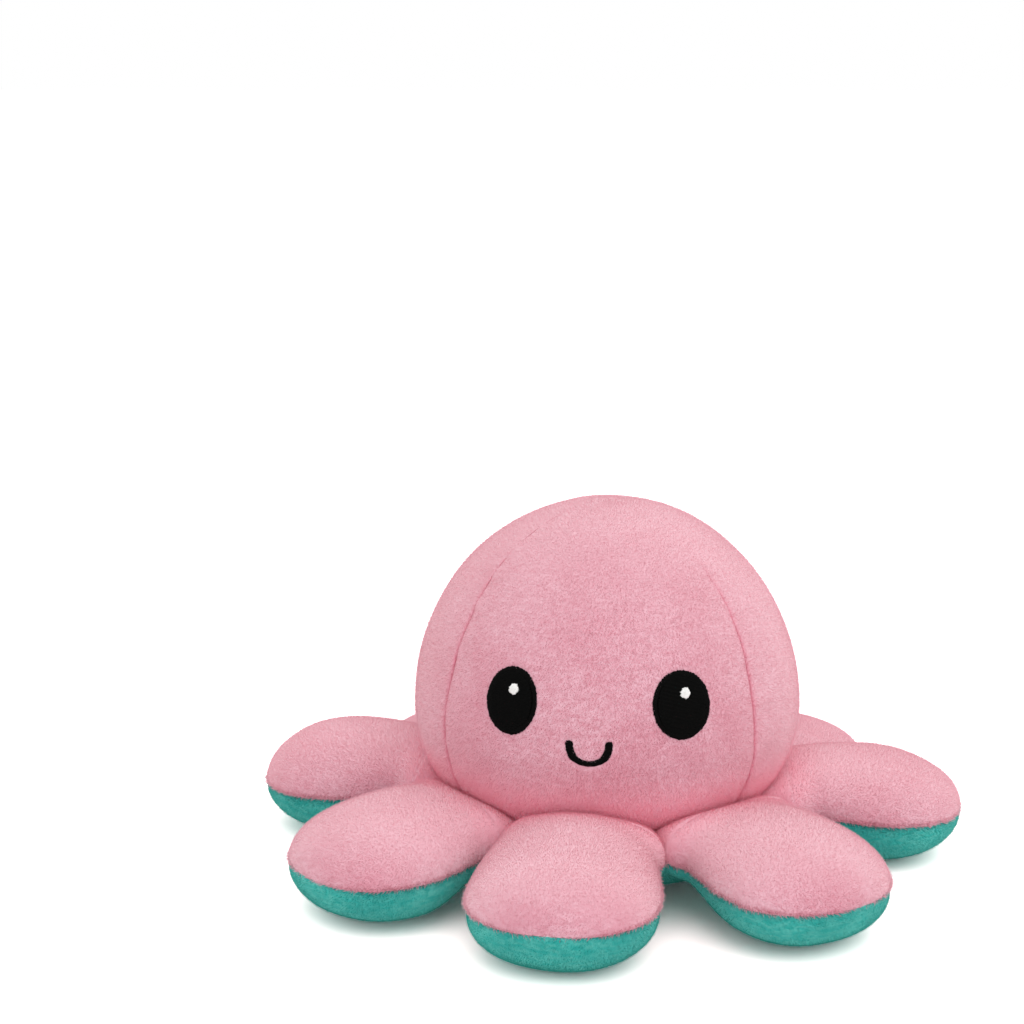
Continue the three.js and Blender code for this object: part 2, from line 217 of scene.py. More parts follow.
def solid(name: str, points: np.ndarray, faces: np.ndarray, marks: Marks) -> bpy.types.Object:
    """A closed mesh with its faces outwards, its poles merged and its normals smooth.

    Args:
        name: the piece's name.
        points: n x 3.
        faces: the corners of each face.
        marks: point attributes by name, n numbers or n x 3.

    Returns:
        The new object.
    """
    mesh = bpy.data.meshes.new(name)
    if sum_volume(points, faces) < 0:
        faces = faces[:, ::-1]
    mesh.from_pydata(points.tolist(), [], faces.tolist())
    for key, values in marks.items():
        kind = "FLOAT" if values.ndim == 1 else "FLOAT_VECTOR"
        store = mesh.attributes.new(key, kind, "POINT")
        store.data.foreach_set("value" if values.ndim == 1 else "vector", values.astype(np.float32).ravel())
    shape = bmesh.new()
    shape.from_mesh(mesh)
    bmesh.ops.remove_doubles(shape, verts=shape.verts, dist=2e-6)
    bmesh.ops.dissolve_degenerate(shape, dist=1e-7, edges=shape.edges)
    shape.to_mesh(mesh)
    shape.free()
    mesh.shade_smooth()
    mesh.set_sharp_from_angle(angle=math.radians(60))
    return link(name, mesh)


def sum_volume(points: np.ndarray, faces: np.ndarray) -> float:
    """Six times the signed volume inside faces of four corners.

    Args:
        points: n x 3.
        faces: m x 4.

    Returns:
        The sum, above 0 where the faces point outwards.
    """
    a, b, c, d = (points[faces[:, i]] for i in range(4))
    first = np.einsum("ij,ij->i", a, np.cross(b, c))
    second = np.einsum("ij,ij->i", a, np.cross(c, d))
    return float((first + second).sum())


def cloth(name: str, face: Grid, normals: Grid, marks: Marks) -> bpy.types.Object:
    """A sheet of cloth with thickness, closed round its edges.

    Args:
        name: the piece's name.
        face: the points of the side that shows.
        normals: their normals, kept as the attribute lie for the pile and the material.
        marks: attributes of the face's points. They are zero on the back.

    Returns:
        The new object.
    """
    back = face - normals * FABRIC
    marks = marks | {"lie": normals}
    rows, columns = face.shape[:2]
    count = rows * columns
    index = np.arange(count).reshape(rows, columns)
    corners = (index[:-1, :-1], index[1:, :-1], index[1:, 1:], index[:-1, 1:])
    quads = np.stack([corner.ravel() for corner in corners], axis=1)
    rim = np.concatenate([index[:-1, 0], index[-1, :-1], index[:0:-1, -1], index[0, :0:-1]])
    after = np.roll(rim, -1)
    edges = np.stack([after, rim, rim + count, after + count], axis=1)
    faces = np.concatenate([quads, quads[:, ::-1] + count, edges])
    points = np.concatenate([face.reshape(-1, 3), back.reshape(-1, 3)])
    doubled = {}
    for key, values in marks.items():
        flat = values.reshape(count, -1)
        both = np.concatenate([flat, np.zeros_like(flat)])
        doubled[key] = both[:, 0] if flat.shape[1] == 1 else both
    return solid(name, points, faces, doubled)


def skinned(
    name: str, loops: Grid, marks: Marks | None = None, ringed: bool = False
) -> bpy.types.Object:
    """A solid skinned over closed loops of points.

    Args:
        name: the piece's name.
        loops: the loops, one to a row. The first and last are shrunk to a point, unless it is ringed.
        marks: attributes of the points.
        ringed: whether the last loop joins the first.

    Returns:
        The new object.
    """
    rows, columns = loops.shape[:2]
    index = np.arange(rows * columns).reshape(rows, columns)
    after = np.roll(index, -1, axis=1)
    if ringed:
        index, after = np.concatenate([index, index[:1]]), np.concatenate([after, after[:1]])
    corners = (index[:-1], index[1:], after[1:], after[:-1])
    quads = np.stack([corner.ravel() for corner in corners], axis=1)
    flat = {key: values.reshape(rows * columns, -1).squeeze() for key, values in (marks or {}).items()}
    return solid(name, loops.reshape(-1, 3), quads, flat)


def ring_cloth(name: str, face: Grid, normals: Grid, marks: Marks) -> bpy.types.Object:
    """A sheet of cloth with thickness that closes round the toy. Its columns go all the way round.

    Args:
        name: the piece's name.
        face: the points of the side that shows.
        normals: their normals, kept as the attribute lie.
        marks: attributes of the face's points. They are zero on the back.

    Returns:
        The new object.
    """
    marks = marks | {"lie": normals}
    both = {key: np.concatenate([values, np.zeros_like(values)]) for key, values in marks.items()}
    back = face - normals * FABRIC
    return skinned(name, np.concatenate([face, back[::-1]]), both, ringed=True)


def grown(base: bpy.types.Object, tree: bpy.types.NodeTree, values: dict, name: str) -> bpy.types.Object:
    """Runs a geometry tree over a piece and keeps the result as a plain mesh.

    Args:
        base: the piece that the tree reads. It stays as it was.
        tree: the geometry tree.
        values: the tree's named inputs.
        name: the new piece's name.

    Returns:
        The new object.
    """
    modifier = base.modifiers.new("grown", "NODES")
    modifier.node_group = tree
    sockets = {item.name: item.identifier for item in tree.interface.items_tree if item.in_out == "INPUT"}
    for key, value in values.items():
        modifier[sockets[key]] = value
    bpy.context.view_layer.update()
    evaluated = base.evaluated_get(bpy.context.evaluated_depsgraph_get())
    mesh = bpy.data.meshes.new_from_object(evaluated)
    base.modifiers.remove(modifier)
    mesh.name = name
    return link(name, mesh)


@dataclass(frozen=True)
class Plush:
    """Velboa: polyester pile about 1 mm long, knitted into a thin backing, brushed and sheared.

    It gives a matt, velvety surface, deep in colour where one looks into the pile and pale and a
    little grey where one sees its sides, with soft streaks and patches where it was stroked. Here the
    pale sides and fibre tips are painted sheen, the creases get painted shade in the seam colour, and
    a brighter pink near the creases is painted bounce light.
    """

    name: str
    pile: str
    deep: str  # what shows where one looks into the pile
    tip: str
    rim: str  # the sheared ends' pale pink, used as the sheen's tint and painted as sheen on cloth that faces up or sideways and on the fibres' tips
    # seam: the colour of dark seam lines, also painted as shade in the creases round the head's foot
    seam: str
    painted_bounce: str  # painted bounce light: a brighter pink painted near the creases, where shade falls
    streak: float = 0.8
    painted_sheen_share: float = 0.34  # the share of rim painted as sheen on cloth that faces up or sideways
    stroke_length: float = 2.6 * MM
    patch_length: float = 24 * MM
    fibre_length: float = 0.5 * MM  # coarser than a real fibre, so that it shows

    def material(self) -> bpy.types.Material:
        """The finished material, made once."""
        found = bpy.data.materials.get(self.name)
        if found:
            return found
        material, tree = blank_material(self.name)
        place = add_node(tree, "ShaderNodeTexCoord").outputs["Object"]
        stretched = add_node(tree, "ShaderNodeMapping", {"Vector": place, "Scale": (1.0, 1.0, 2.2)})
        patches = add_node(
            tree, "ShaderNodeTexNoise", {"Vector": place, "Scale": 1 / self.patch_length, "Detail": 2.0}
        )
        strokes = add_node(
            tree,
            "ShaderNodeTexNoise",
            {"Vector": stretched, "Scale": 1 / self.stroke_length, "Detail": 5.0, "Distortion": 0.5},
        )
        inputs = {"Vector": place, "Scale": 1 / self.fibre_length, "Detail": 2.0}
        fibres = add_node(tree, "ShaderNodeTexNoise", inputs)
        seam = add_node(tree, "ShaderNodeAttribute", attribute_name="seam").outputs["Fac"]
        along = add_node(tree, "ShaderNodeAttribute", attribute_name="along").outputs["Fac"]
        painted_bounce = add_node(tree, "ShaderNodeAttribute", attribute_name="painted_bounce").outputs["Fac"]
        lie = add_node(tree, "ShaderNodeAttribute", attribute_name="lie").outputs["Vector"]
        worn = self.ranged(tree, patches, (0.4, 0.68), (0.0, 0.55))
        lies = add_node(tree, "ShaderNodeSeparateXYZ", {0: lie}).outputs
        fore_and_aft = add_node(tree, "ShaderNodeMath", {0: lies[1]}, operation="ABSOLUTE")
        streak = self.ranged(tree, lies[2], (0.2, 0.8), (self.streak, 0.4 * self.streak))
        streaked = self.ranged(tree, strokes, (0.36, 0.64), (0.0, streak))
        specks = self.ranged(tree, fibres, (0.35, 0.65), (0.0, 0.25))
        colour = self.mixed(tree, linear(self.pile), linear(self.tip), streaked)
        colour = self.mixed(tree, colour, linear(self.deep), worn)
        colour = self.mixed(tree, colour, linear(self.deep), specks)
        # Painted sheen: cloth that faces forwards or back keeps its colour, and the rest is painted paler,
        # matched from the front.
        pale = self.ranged(tree, fore_and_aft, (0.3, 0.92), (self.painted_sheen_share, 0.0))
        colour = self.mixed(tree, colour, linear(self.rim), pale)
        # Painted sheen: the fibres' tips are painted paler, towards the rim colour.
        colour = self.mixed(tree, colour, linear(self.rim), self.ranged(tree, along, (0.3, 1.0), (0.0, 0.45)))
        # Painted bounce light: a brighter pink painted near the creases, where shade falls; the same mask
        # adds subsurface scattering.
        bounce_share = self.ranged(tree, painted_bounce, (0.0, 1.0), (0.0, 0.9))
        colour = self.mixed(tree, colour, linear(self.painted_bounce), bounce_share)
        colour = self.mixed(tree, colour, linear(self.seam), self.ranged(tree, seam, (0.0, 1.0), (0.0, 0.9)))
        bump = add_node(
            tree, "ShaderNodeBump", {"Height": strokes, "Strength": 0.2, "Distance": 0.4 * MM}
        )
        shader = add_node(
            tree,
            "ShaderNodeBsdfPrincipled",
            {
                "Base Color": colour,
                "Roughness": 0.95,
                "Specular IOR Level": 0.1,
                "Sheen Weight": 0.9,
                "Sheen Roughness": 0.45,
                "Sheen Tint": linear(self.rim),
                "Subsurface Weight": self.ranged(tree, painted_bounce, (0.0, 1.0), (0.0, 0.6)),
                "Subsurface Radius": (1.0, 0.5, 0.5),
                "Subsurface Scale": 3 * MM,
                "Normal": bump,
            },
        )
        through = add_node(tree, "ShaderNodeBsdfTranslucent", {"Color": colour})
        share = self.ranged(tree, along, (0.0, 0.1), (0.0, 0.5))
        shader = add_node(tree, "ShaderNodeMixShader", {0: share, 1: shader, 2: through})
        add_node(tree, "ShaderNodeOutputMaterial", {"Surface": shader})
        return material

    @staticmethod
    def ranged(
        tree: bpy.types.NodeTree,
        value: Source,
        heard: tuple[float, float],
        given: tuple[float, float | Source],
    ) -> bpy.types.NodeSocket:
        """Turns the heard range of a value into the given one, held at its ends."""
        inputs = {0: value, 1: heard[0], 2: heard[1], 3: given[0], 4: given[1]}
        return add_node(tree, "ShaderNodeMapRange", inputs, clamp=True).outputs[0]

    @staticmethod
    def mixed(
        tree: bpy.types.NodeTree,
        first: Source | Colour,
        second: Source | Colour,
        share: Source,
    ) -> bpy.types.NodeSocket:
        """Mixes two colours by a share."""
        return add_node(tree, "ShaderNodeMix", {0: share, 6: first, 7: second}, data_type="RGBA").outputs[2]


@dataclass(frozen=True)
class Thread:
    """Rayon embroidery thread, twisted from filament and laid in satin stitch, so it has a soft shine."""

    name: str
    colour: str
    worn: str
    twist_length: float = 0.25 * MM

    def material(self) -> bpy.types.Material:
        """The finished material, made once."""
        found = bpy.data.materials.get(self.name)
        if found:
            return found
        material, tree = blank_material(self.name)
        place = add_node(tree, "ShaderNodeTexCoord").outputs["Object"]
        inputs = {"Vector": place, "Scale": 1 / self.twist_length, "Detail": 2.0}
        twist = add_node(tree, "ShaderNodeTexNoise", inputs)
        share = Plush.ranged(tree, twist, (0.35, 0.75), (0.0, 1.0))
        colour = Plush.mixed(tree, linear(self.colour), linear(self.worn), share)
        bump = add_node(
            tree, "ShaderNodeBump", {"Height": twist, "Strength": 0.4, "Distance": 0.1 * MM}
        )
        shader = add_node(
            tree,
            "ShaderNodeBsdfPrincipled",
            {
                "Base Color": colour,
                "Roughness": 0.6,
                "Specular IOR Level": 0.04,
                "Normal": bump,
            },
        )
        add_node(tree, "ShaderNodeOutputMaterial", {"Surface": shader})
        return material


@dataclass(frozen=True)
class FibreFill:
    """Siliconised polyester fibre, carded and blown, so it is a dull, soft white in loose clumps."""

    name: str = "fibre_fill"
    colour: str = "#F3F0E8"
    shade: str = "#DAD5C9"
    clump_length: float = 5 * MM

    def material(self) -> bpy.types.Material:
        """The finished material, made once."""
        found = bpy.data.materials.get(self.name)
        if found:
            return found
        material, tree = blank_material(self.name)
        place = add_node(tree, "ShaderNodeTexCoord").outputs["Object"]
        inputs = {"Vector": place, "Scale": 1 / self.clump_length, "Detail": 6.0}
        clumps = add_node(tree, "ShaderNodeTexNoise", inputs)
        share = Plush.ranged(tree, clumps, (0.35, 0.65), (0.0, 1.0))
        colour = Plush.mixed(tree, linear(self.colour), linear(self.shade), share)
        bump = add_node(tree, "ShaderNodeBump", {"Height": clumps, "Distance": 1 * MM})
        inputs = {"Base Color": colour, "Roughness": 0.95, "Sheen Weight": 0.2, "Normal": bump}
        shader = add_node(tree, "ShaderNodeBsdfPrincipled", inputs)
        add_node(tree, "ShaderNodeOutputMaterial", {"Surface": shader})
        return material


PINK = Plush(
    "pink_velboa",
    pile="#DAA3B0",
    deep="#D18899",
    tip="#E7BFCA",
    rim="#FFE0E5",
    seam="#DA718C",
    painted_bounce="#FFBCCC",
)
TEAL = Plush(
    "teal_velboa",
    pile="#3AB4AB",
    deep="#208E88",
    tip="#74D0C6",
    rim="#70C6BD",
    seam="#1B7F79",
    painted_bounce="#41BFB4",
)
BLACK = Thread("black_rayon", colour="#050505", worn="#0D0D0C")
WHITE = Thread("white_rayon", colour="#F4F3F1", worn="#DEDCD9")
FILL = FibreFill()


@dataclass(frozen=True)
class Pile:
    """The pile of a plush cover: thousands of flat fibres that lean the way the nap was brushed."""

    density: float = 12e6  # fibres on a square metre
    length: float = 0.65 * MM
    width: float = 0.11 * MM
    lean: float = 0.6  # how far a fibre leans along the nap, against 1 straight up
    jitter: float = 0.45
    shortest: float = 0.65
    longest: float = 1.2
    hem_growth: float = 1.1  # how much longer it is where it is combed out over a hem

    def tree(self) -> bpy.types.NodeTree:
        """The geometry tree, made once. It reads the attributes plush (how dense), nap and hem (longer)."""
        found = bpy.data.node_groups.get("pile")
        if found:
            return found
        tree = bpy.data.node_groups.new("pile", "GeometryNodeTree")
        face = tree.interface
        face.new_socket("Cover", in_out="INPUT", socket_type="NodeSocketGeometry")
        for title in ("Density", "Length", "Width", "Lean", "Jitter"):
            face.new_socket(title, in_out="INPUT", socket_type="NodeSocketFloat")
        face.new_socket("Seed", in_out="INPUT", socket_type="NodeSocketInt")
        face.new_socket("Material", in_out="INPUT", socket_type="NodeSocketMaterial")
        face.new_socket("Fibres", in_out="OUTPUT", socket_type="NodeSocketGeometry")
        given = add_node(tree, "NodeGroupInput").outputs
        share = add_node(tree, "GeometryNodeInputNamedAttribute", {"Name": "plush"}, data_type="FLOAT")
        density = add_node(
            tree, "ShaderNodeMath", {0: given["Density"], 1: share}, operation="MULTIPLY"
        )
        points = add_node(
            tree,
            "GeometryNodeDistributePointsOnFaces",
            {"Mesh": given["Cover"], "Density": density, "Seed": given["Seed"]},
        )
        nap = add_node(tree, "GeometryNodeInputNamedAttribute", {"Name": "nap"}, data_type="FLOAT_VECTOR")
        leant = add_node(
            tree, "ShaderNodeVectorMath", {0: nap, "Scale": given["Lean"]}, operation="SCALE"
        )
        random = add_node(
            tree,
            "FunctionNodeRandomValue",
            {0: (-1.0, -1.0, -1.0), 1: (1.0, 1.0, 1.0), "Seed": given["Seed"]},
            data_type="FLOAT_VECTOR",
        )
        shaken = add_node(
            tree, "ShaderNodeVectorMath", {0: random, "Scale": given["Jitter"]}, operation="SCALE"
        )
        upright = add_node(
            tree, "ShaderNodeVectorMath", {0: points.outputs["Normal"], 1: leant}, operation="ADD"
        )
        heading = add_node(
            tree, "ShaderNodeVectorMath", {0: upright, 1: shaken}, operation="ADD"
        )
        pointed = add_node(tree, "FunctionNodeAlignRotationToVector", {"Vector": heading}, axis="X")
        turned = add_node(
            tree,
            "FunctionNodeAlignRotationToVector",
            {"Rotation": pointed, "Vector": points.outputs["Normal"]},
            axis="Z",
            pivot_axis="X",
        )
        inputs = {2: self.shortest, 3: self.longest, "Seed": 7}
        longer = add_node(tree, "FunctionNodeRandomValue", inputs, data_type="FLOAT")
        hem = add_node(tree, "GeometryNodeInputNamedAttribute", {"Name": "hem"}, data_type="FLOAT")
        grown_out = add_node(
            tree, "ShaderNodeMath", {0: hem, 1: self.hem_growth, 2: 1.0}, operation="MULTIPLY_ADD"
        )
        scale = add_node(
            tree, "ShaderNodeMath", {0: grown_out, 1: longer.outputs[1]}, operation="MULTIPLY"
        )
        fibre = self.fibre(tree, given)
        placed = add_node(
            tree,
            "GeometryNodeInstanceOnPoints",
            {
                "Points": points.outputs["Points"],
                "Instance": fibre,
                "Rotation": turned,
                "Scale": scale,
            },
        )
        real = add_node(tree, "GeometryNodeRealizeInstances", {0: placed})
        dressed = add_node(
            tree, "GeometryNodeSetMaterial", {"Geometry": real, "Material": given["Material"]}
        )
        add_node(tree, "NodeGroupOutput", {0: dressed})
        return tree

    @staticmethod
    def fibre(tree: bpy.types.NodeTree, given: bpy.types.NodeOutputs) -> bpy.types.NodeSocket:
        """One flat fibre along +X from the origin, marked 0 at its root to 1 at its tip.

        Args:
            tree: the pile's tree.
            given: its inputs.

        Returns:
            The fibre's geometry.
        """
        blade = add_node(tree, "GeometryNodeMeshCircle", {"Vertices": 3, "Radius": 2 / 3}, fill_type="NGON")
        apart = add_node(tree, "ShaderNodeSeparateXYZ", {0: add_node(tree, "GeometryNodeInputPosition")})
        share = add_node(tree, "ShaderNodeMath", {0: apart, 1: 1 / 3}, operation="ADD")
        marked = add_node(
            tree,
            "GeometryNodeStoreNamedAttribute",
            {"Geometry": blade, "Name": "along", "Value": share},
            data_type="FLOAT",
            domain="POINT",
        )
        length = add_node(
            tree, "ShaderNodeMath", {0: share, 1: given["Length"]}, operation="MULTIPLY"
        )
        across = add_node(
            tree, "ShaderNodeMath", {0: apart.outputs[1], 1: given["Width"]}, operation="MULTIPLY"
        )
        shaped = add_node(tree, "ShaderNodeCombineXYZ", {0: length, 1: across})
        moved = add_node(
            tree, "GeometryNodeSetPosition", {"Geometry": marked, "Position": shaped}
        )
        return moved.outputs[0]

    def grow(self, cover: bpy.types.Object, finish: Plush, name: str, seed: int) -> bpy.types.Object:
        """Grows the pile of one cover.

        Args:
            cover: the cover's mesh, with its plush and nap attributes.
            finish: what the fibres are made of.
            name: the new piece's name.
            seed: places and turns the fibres.

        Returns:
            The fibres as one mesh.
        """
        values = {
            "Density": self.density,
            "Length": self.length,
            "Width": self.width,
            "Lean": self.lean,
            "Jitter": self.jitter,
            "Seed": seed,
            "Material": finish.material(),
        }
        return grown(cover, self.tree(), values, name)


@dataclass(frozen=True)
class Stitching:
    """Stitches: each line of a guide mesh becomes one rounded thread."""

    radius: float = 0.19 * MM
    sides: int = 5

    def tree(self) -> bpy.types.NodeTree:
        """The geometry tree, made once."""
        found = bpy.data.node_groups.get("stitches")
        if found:
            return found
        tree = bpy.data.node_groups.new("stitches", "GeometryNodeTree")
        face = tree.interface
        face.new_socket("Lines", in_out="INPUT", socket_type="NodeSocketGeometry")
        face.new_socket("Radius", in_out="INPUT", socket_type="NodeSocketFloat")
        face.new_socket("Sides", in_out="INPUT", socket_type="NodeSocketInt")
        face.new_socket("Material", in_out="INPUT", socket_type="NodeSocketMaterial")
        face.new_socket("Threads", in_out="OUTPUT", socket_type="NodeSocketGeometry")
        given = add_node(tree, "NodeGroupInput").outputs
        lines = add_node(tree, "GeometryNodeMeshToCurve", {0: given["Lines"]})
        inputs = {"Resolution": given["Sides"], "Radius": given["Radius"]}
        section = add_node(tree, "GeometryNodeCurvePrimitiveCircle", inputs)
        threads = add_node(
            tree,
            "GeometryNodeCurveToMesh",
            {"Curve": lines, "Profile Curve": section, "Fill Caps": True},
        )
        real = add_node(tree, "GeometryNodeRealizeInstances", {0: threads})
        dressed = add_node(
            tree, "GeometryNodeSetMaterial", {"Geometry": real, "Material": given["Material"]}
        )
        add_node(tree, "NodeGroupOutput", {0: dressed})
        return tree

    def sew(self, lines: list[np.ndarray], finish: Thread, name: str) -> bpy.types.Object:
        """Sews stitches along lines.

        Args:
            lines: the points of each stitch, in metres.
            finish: the thread.
            name: the new piece's name.

        Returns:
            All the stitches as one mesh.
        """
        points = np.concatenate(lines)
        starts = np.cumsum([0] + [len(line) for line in lines[:-1]])
        edges = [(s + i, s + i + 1) for s, line in zip(starts.tolist(), lines) for i in range(len(line) - 1)]
        mesh = bpy.data.meshes.new(name + "_guide")
        mesh.from_pydata(points.tolist(), edges, [])
        guide = link(name + "_guide", mesh)
        values = {"Radius": self.radius, "Sides": self.sides, "Material": finish.material()}
        sewn = grown(guide, self.tree(), values, name)
        bpy.data.objects.remove(guide)
        sewn.data.shade_smooth()
        return sewn


def finish_piece(
    piece: bpy.types.Object,
    slot: Slot,
    material: bpy.types.Material,
    nodes: tuple[str, ...] = (),
) -> bpy.types.Object:
    """Dresses a piece and hides the solids that it replaces.

    Args:
        piece: the finished mesh.
        slot: its slot in the record, which is only logged.
        material: its material.
        nodes: the solids that it replaces.

    Returns:
        The same piece.
    """
    piece.data.materials.clear()
    piece.data.materials.append(material)
    if nodes:
        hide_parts(*nodes)
    log.info("%s: %d faces, slot %s", piece.name, len(piece.data.polygons), slot.value)
    return piece


def spot(bearing: Field, radius: Field, height: Field, aside: Field | float = 0.0) -> Grid:
    """Points at bearings (from the face towards +X), radii and heights, moved sideways across the bearing.

    Args:
        bearing: from the face towards +X, in radians.
        radius: from the toy's axis.
        height: above the table.
        aside: how far each point is moved, square to its bearing.

    Returns:
        The points, or with other numbers the vectors.
    """
    x = radius * np.sin(bearing) + aside * np.cos(bearing)
    y = aside * np.sin(bearing) - radius * np.cos(bearing)
    return np.stack(np.broadcast_arrays(x, y, height), axis=-1)


class Skin:
    """What the two heads share: a wall of four plush panels from seam to seam, with their pile."""

    title: str
    slot: Slot
    finish: Plush
    seed: int

    def panel(self, start: float, end: float) -> tuple[Grid, Grid, Marks]:
        """The points, normals and own marks of the panel between two bearings in degrees.

        Args:
            start: the bearing of its first seam.
            end: the bearing of its second seam.

        Returns:
            The panel's points, their normals and the marks that only this head has.
        """
        raise NotImplementedError

    def build(self, covered: Callable[[Grid], Field], pile: Pile) -> None:
        """Makes the four panels and their pile.

        Args:
            covered: how much of the pile embroidery holds down at each point.
            pile: the pile that grows on them.
        """
        for k, (side, start, end) in enumerate(zip(SIDES, SEAMS, (*SEAMS[1:], SEAMS[0] + 360))):
            face, normals, own = self.panel(start, end)
            marks = {"plush": 1 - covered(face), "nap": nap_down(face)} | own
            name = f"{self.title}_{side}_panel"
            panel = cloth(name + "_plush", face, normals, marks)
            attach(finish_piece(panel, self.slot, self.finish.material(), (name,)), ROOT)
            fibres = pile.grow(panel, self.finish, name + "_pile", seed=self.seed + k)
            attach(finish_piece(fibres, self.slot, self.finish.material()), ROOT)


@dataclass(frozen=True)
class Head(Skin):
    """The outer head: four gored plush panels from the crown to the crease above the arms."""

    title: str = "head"
    slot: Slot = Slot.PINK
    finish: Plush = PINK
    seed: int = 20
    radius: float = 54.4 * MM
    crease_radius: float = 44 * MM
    crease_height: float = 21 * MM
    waist_height: float = 45.5 * MM
    dome_rise: float = 58.5 * MM
    seam_depth: float = 0.5 * MM
    seam_reach: float = 7 * MM
    stitch_depth: float = 0.6 * MM
    stitch_reach: float = 0.55 * MM
    pucker: float = 0.35 * MM
    pucker_length: float = 3.2 * MM
    pucker_reach: float = 4 * MM
    crease_reach: float = 1.5 * MM
    painted_bounce_reach: float = 26 * MM
    lump: float = 0.5 * MM
    lump_length: float = 21 * MM
    seam_fade: tuple[float, float] = (math.radians(26), math.radians(74))  # its seams show below this
    valley_least: float = 0.2  # the shares of the seams' depth that are left at the crown
    stitch_least: float = 0.05
    seam_mark: float = 0.8
    painted_crease_shade: float = 0.6
    painted_bounce_most: float = 0.9
    painted_bounce_start: float = 0.2
    rows: int = 130
    columns: int = 100

    @property
    def crease_angle(self) -> float:
        """The angle down from the crown at which the head meets the crease."""
        return math.pi - math.asin(self.crease_radius / self.radius)

    def surface(self, angle: Field, bearing: Field, proud: Field | float = 0.0) -> tuple[Grid, Grid, Field]:
        """The plush surface of the head.

        Args:
            angle: down from the crown, in radians.
            bearing: from the face towards +X.
            proud: how far out from the cloth.

        Returns:
            The points, their normals and the nearness of a seam from 0 to 1, or the painted crease shade
            where that is greater.
        """
        angle, bearing = np.broadcast_arrays(angle, bearing)
        low_rise = (self.waist_height - self.crease_height) / -math.cos(self.crease_angle)
        rise = np.where(angle < np.pi / 2, self.dome_rise, low_rise)
        radius = self.radius * np.sin(angle)
        height = self.waist_height + rise * np.cos(angle)
        out, up = np.sin(angle) / self.radius, np.cos(angle) / rise
        size = np.hypot(out, up)
        out, up = out / size, up / size
        normals = spot(bearing, out, up)
        points = spot(bearing, radius, height)
        apart = seam_distance(bearing, radius)
        ends = np.clip(np.sin(np.pi * angle / self.crease_angle), 0, 1)
        shown = smooth((angle - self.seam_fade[0]) / (self.seam_fade[1] - self.seam_fade[0]))
        left = self.valley_least + (1 - self.valley_least) * shown
        valley = self.seam_depth * np.exp(-((apart / self.seam_reach) ** 2)) * ends * left
        left = self.stitch_least + (1 - self.stitch_least) * shown
        stitch = self.stitch_depth * np.exp(-apart / self.stitch_reach) * left
        along = angle * self.radius / self.pucker_length
        wave = np.stack([along, apart / (3 * self.pucker_length), np.floor(bearing)], axis=-1)
        pucker = self.pucker * relief(wave, 3) * np.exp(-apart / self.pucker_reach) * ends
        lumps = self.lump * relief(points / self.lump_length, 11)
        points = points + normals * (proud + lumps + pucker - valley - stitch - PILE_DEPTH)[..., None]
        seam = self.seam_mark * shown * np.exp(-apart / self.stitch_reach)
        # Painted shade: the seam colour darkens the head's foot towards the crease, where shade falls.
        crease = self.painted_crease_shade * np.exp((angle - self.crease_angle) * self.radius / self.crease_reach)
        return points, normals, np.maximum(seam, crease)

    def angle_at(self, height: Field) -> Field:
        """The angle down from the crown of the wall above its widest place, at a height."""
        return np.arccos(np.clip((height - self.waist_height) / self.dome_rise, -1, 1))

    def radius_at(self, height: Field) -> Field:
        """The wall's radius at a height."""
        return self.radius * np.sin(self.angle_at(height))

    def at(self, height: Field, bearing: Field, proud: Field) -> Grid:
        """Points at a height on the wall."""
        return self.surface(self.angle_at(height), bearing, proud)[0]

    def panel(self, start: float, end: float) -> tuple[Grid, Grid, Marks]:
        """The points, normals and own marks of the panel between two bearings in degrees.

        Args:
            start: the bearing of its first seam.
            end: the bearing of its second seam.

        Returns:
            The panel's points, their normals and the marks that only this head has.
        """
        share = np.linspace(0, 1, self.columns)
        share = 0.4 * share + 0.3 * (1 - np.cos(np.pi * share))  # closer together at the seams
        bearing = np.radians(start + (end - start) * share)[None, :]
        angle = np.linspace(0, self.crease_angle, self.rows)[:, None]
        face, normals, seam = self.surface(angle, bearing)
        # Painted bounce light: a brighter pink painted on the low head, fading up from the crease.
        above = (self.crease_angle - angle) * self.radius / self.painted_bounce_reach
        painted_bounce = self.painted_bounce_most * (1 - smooth(above - self.painted_bounce_start)) + 0 * bearing
        return face, normals, {"seam": seam, "painted_bounce": painted_bounce}


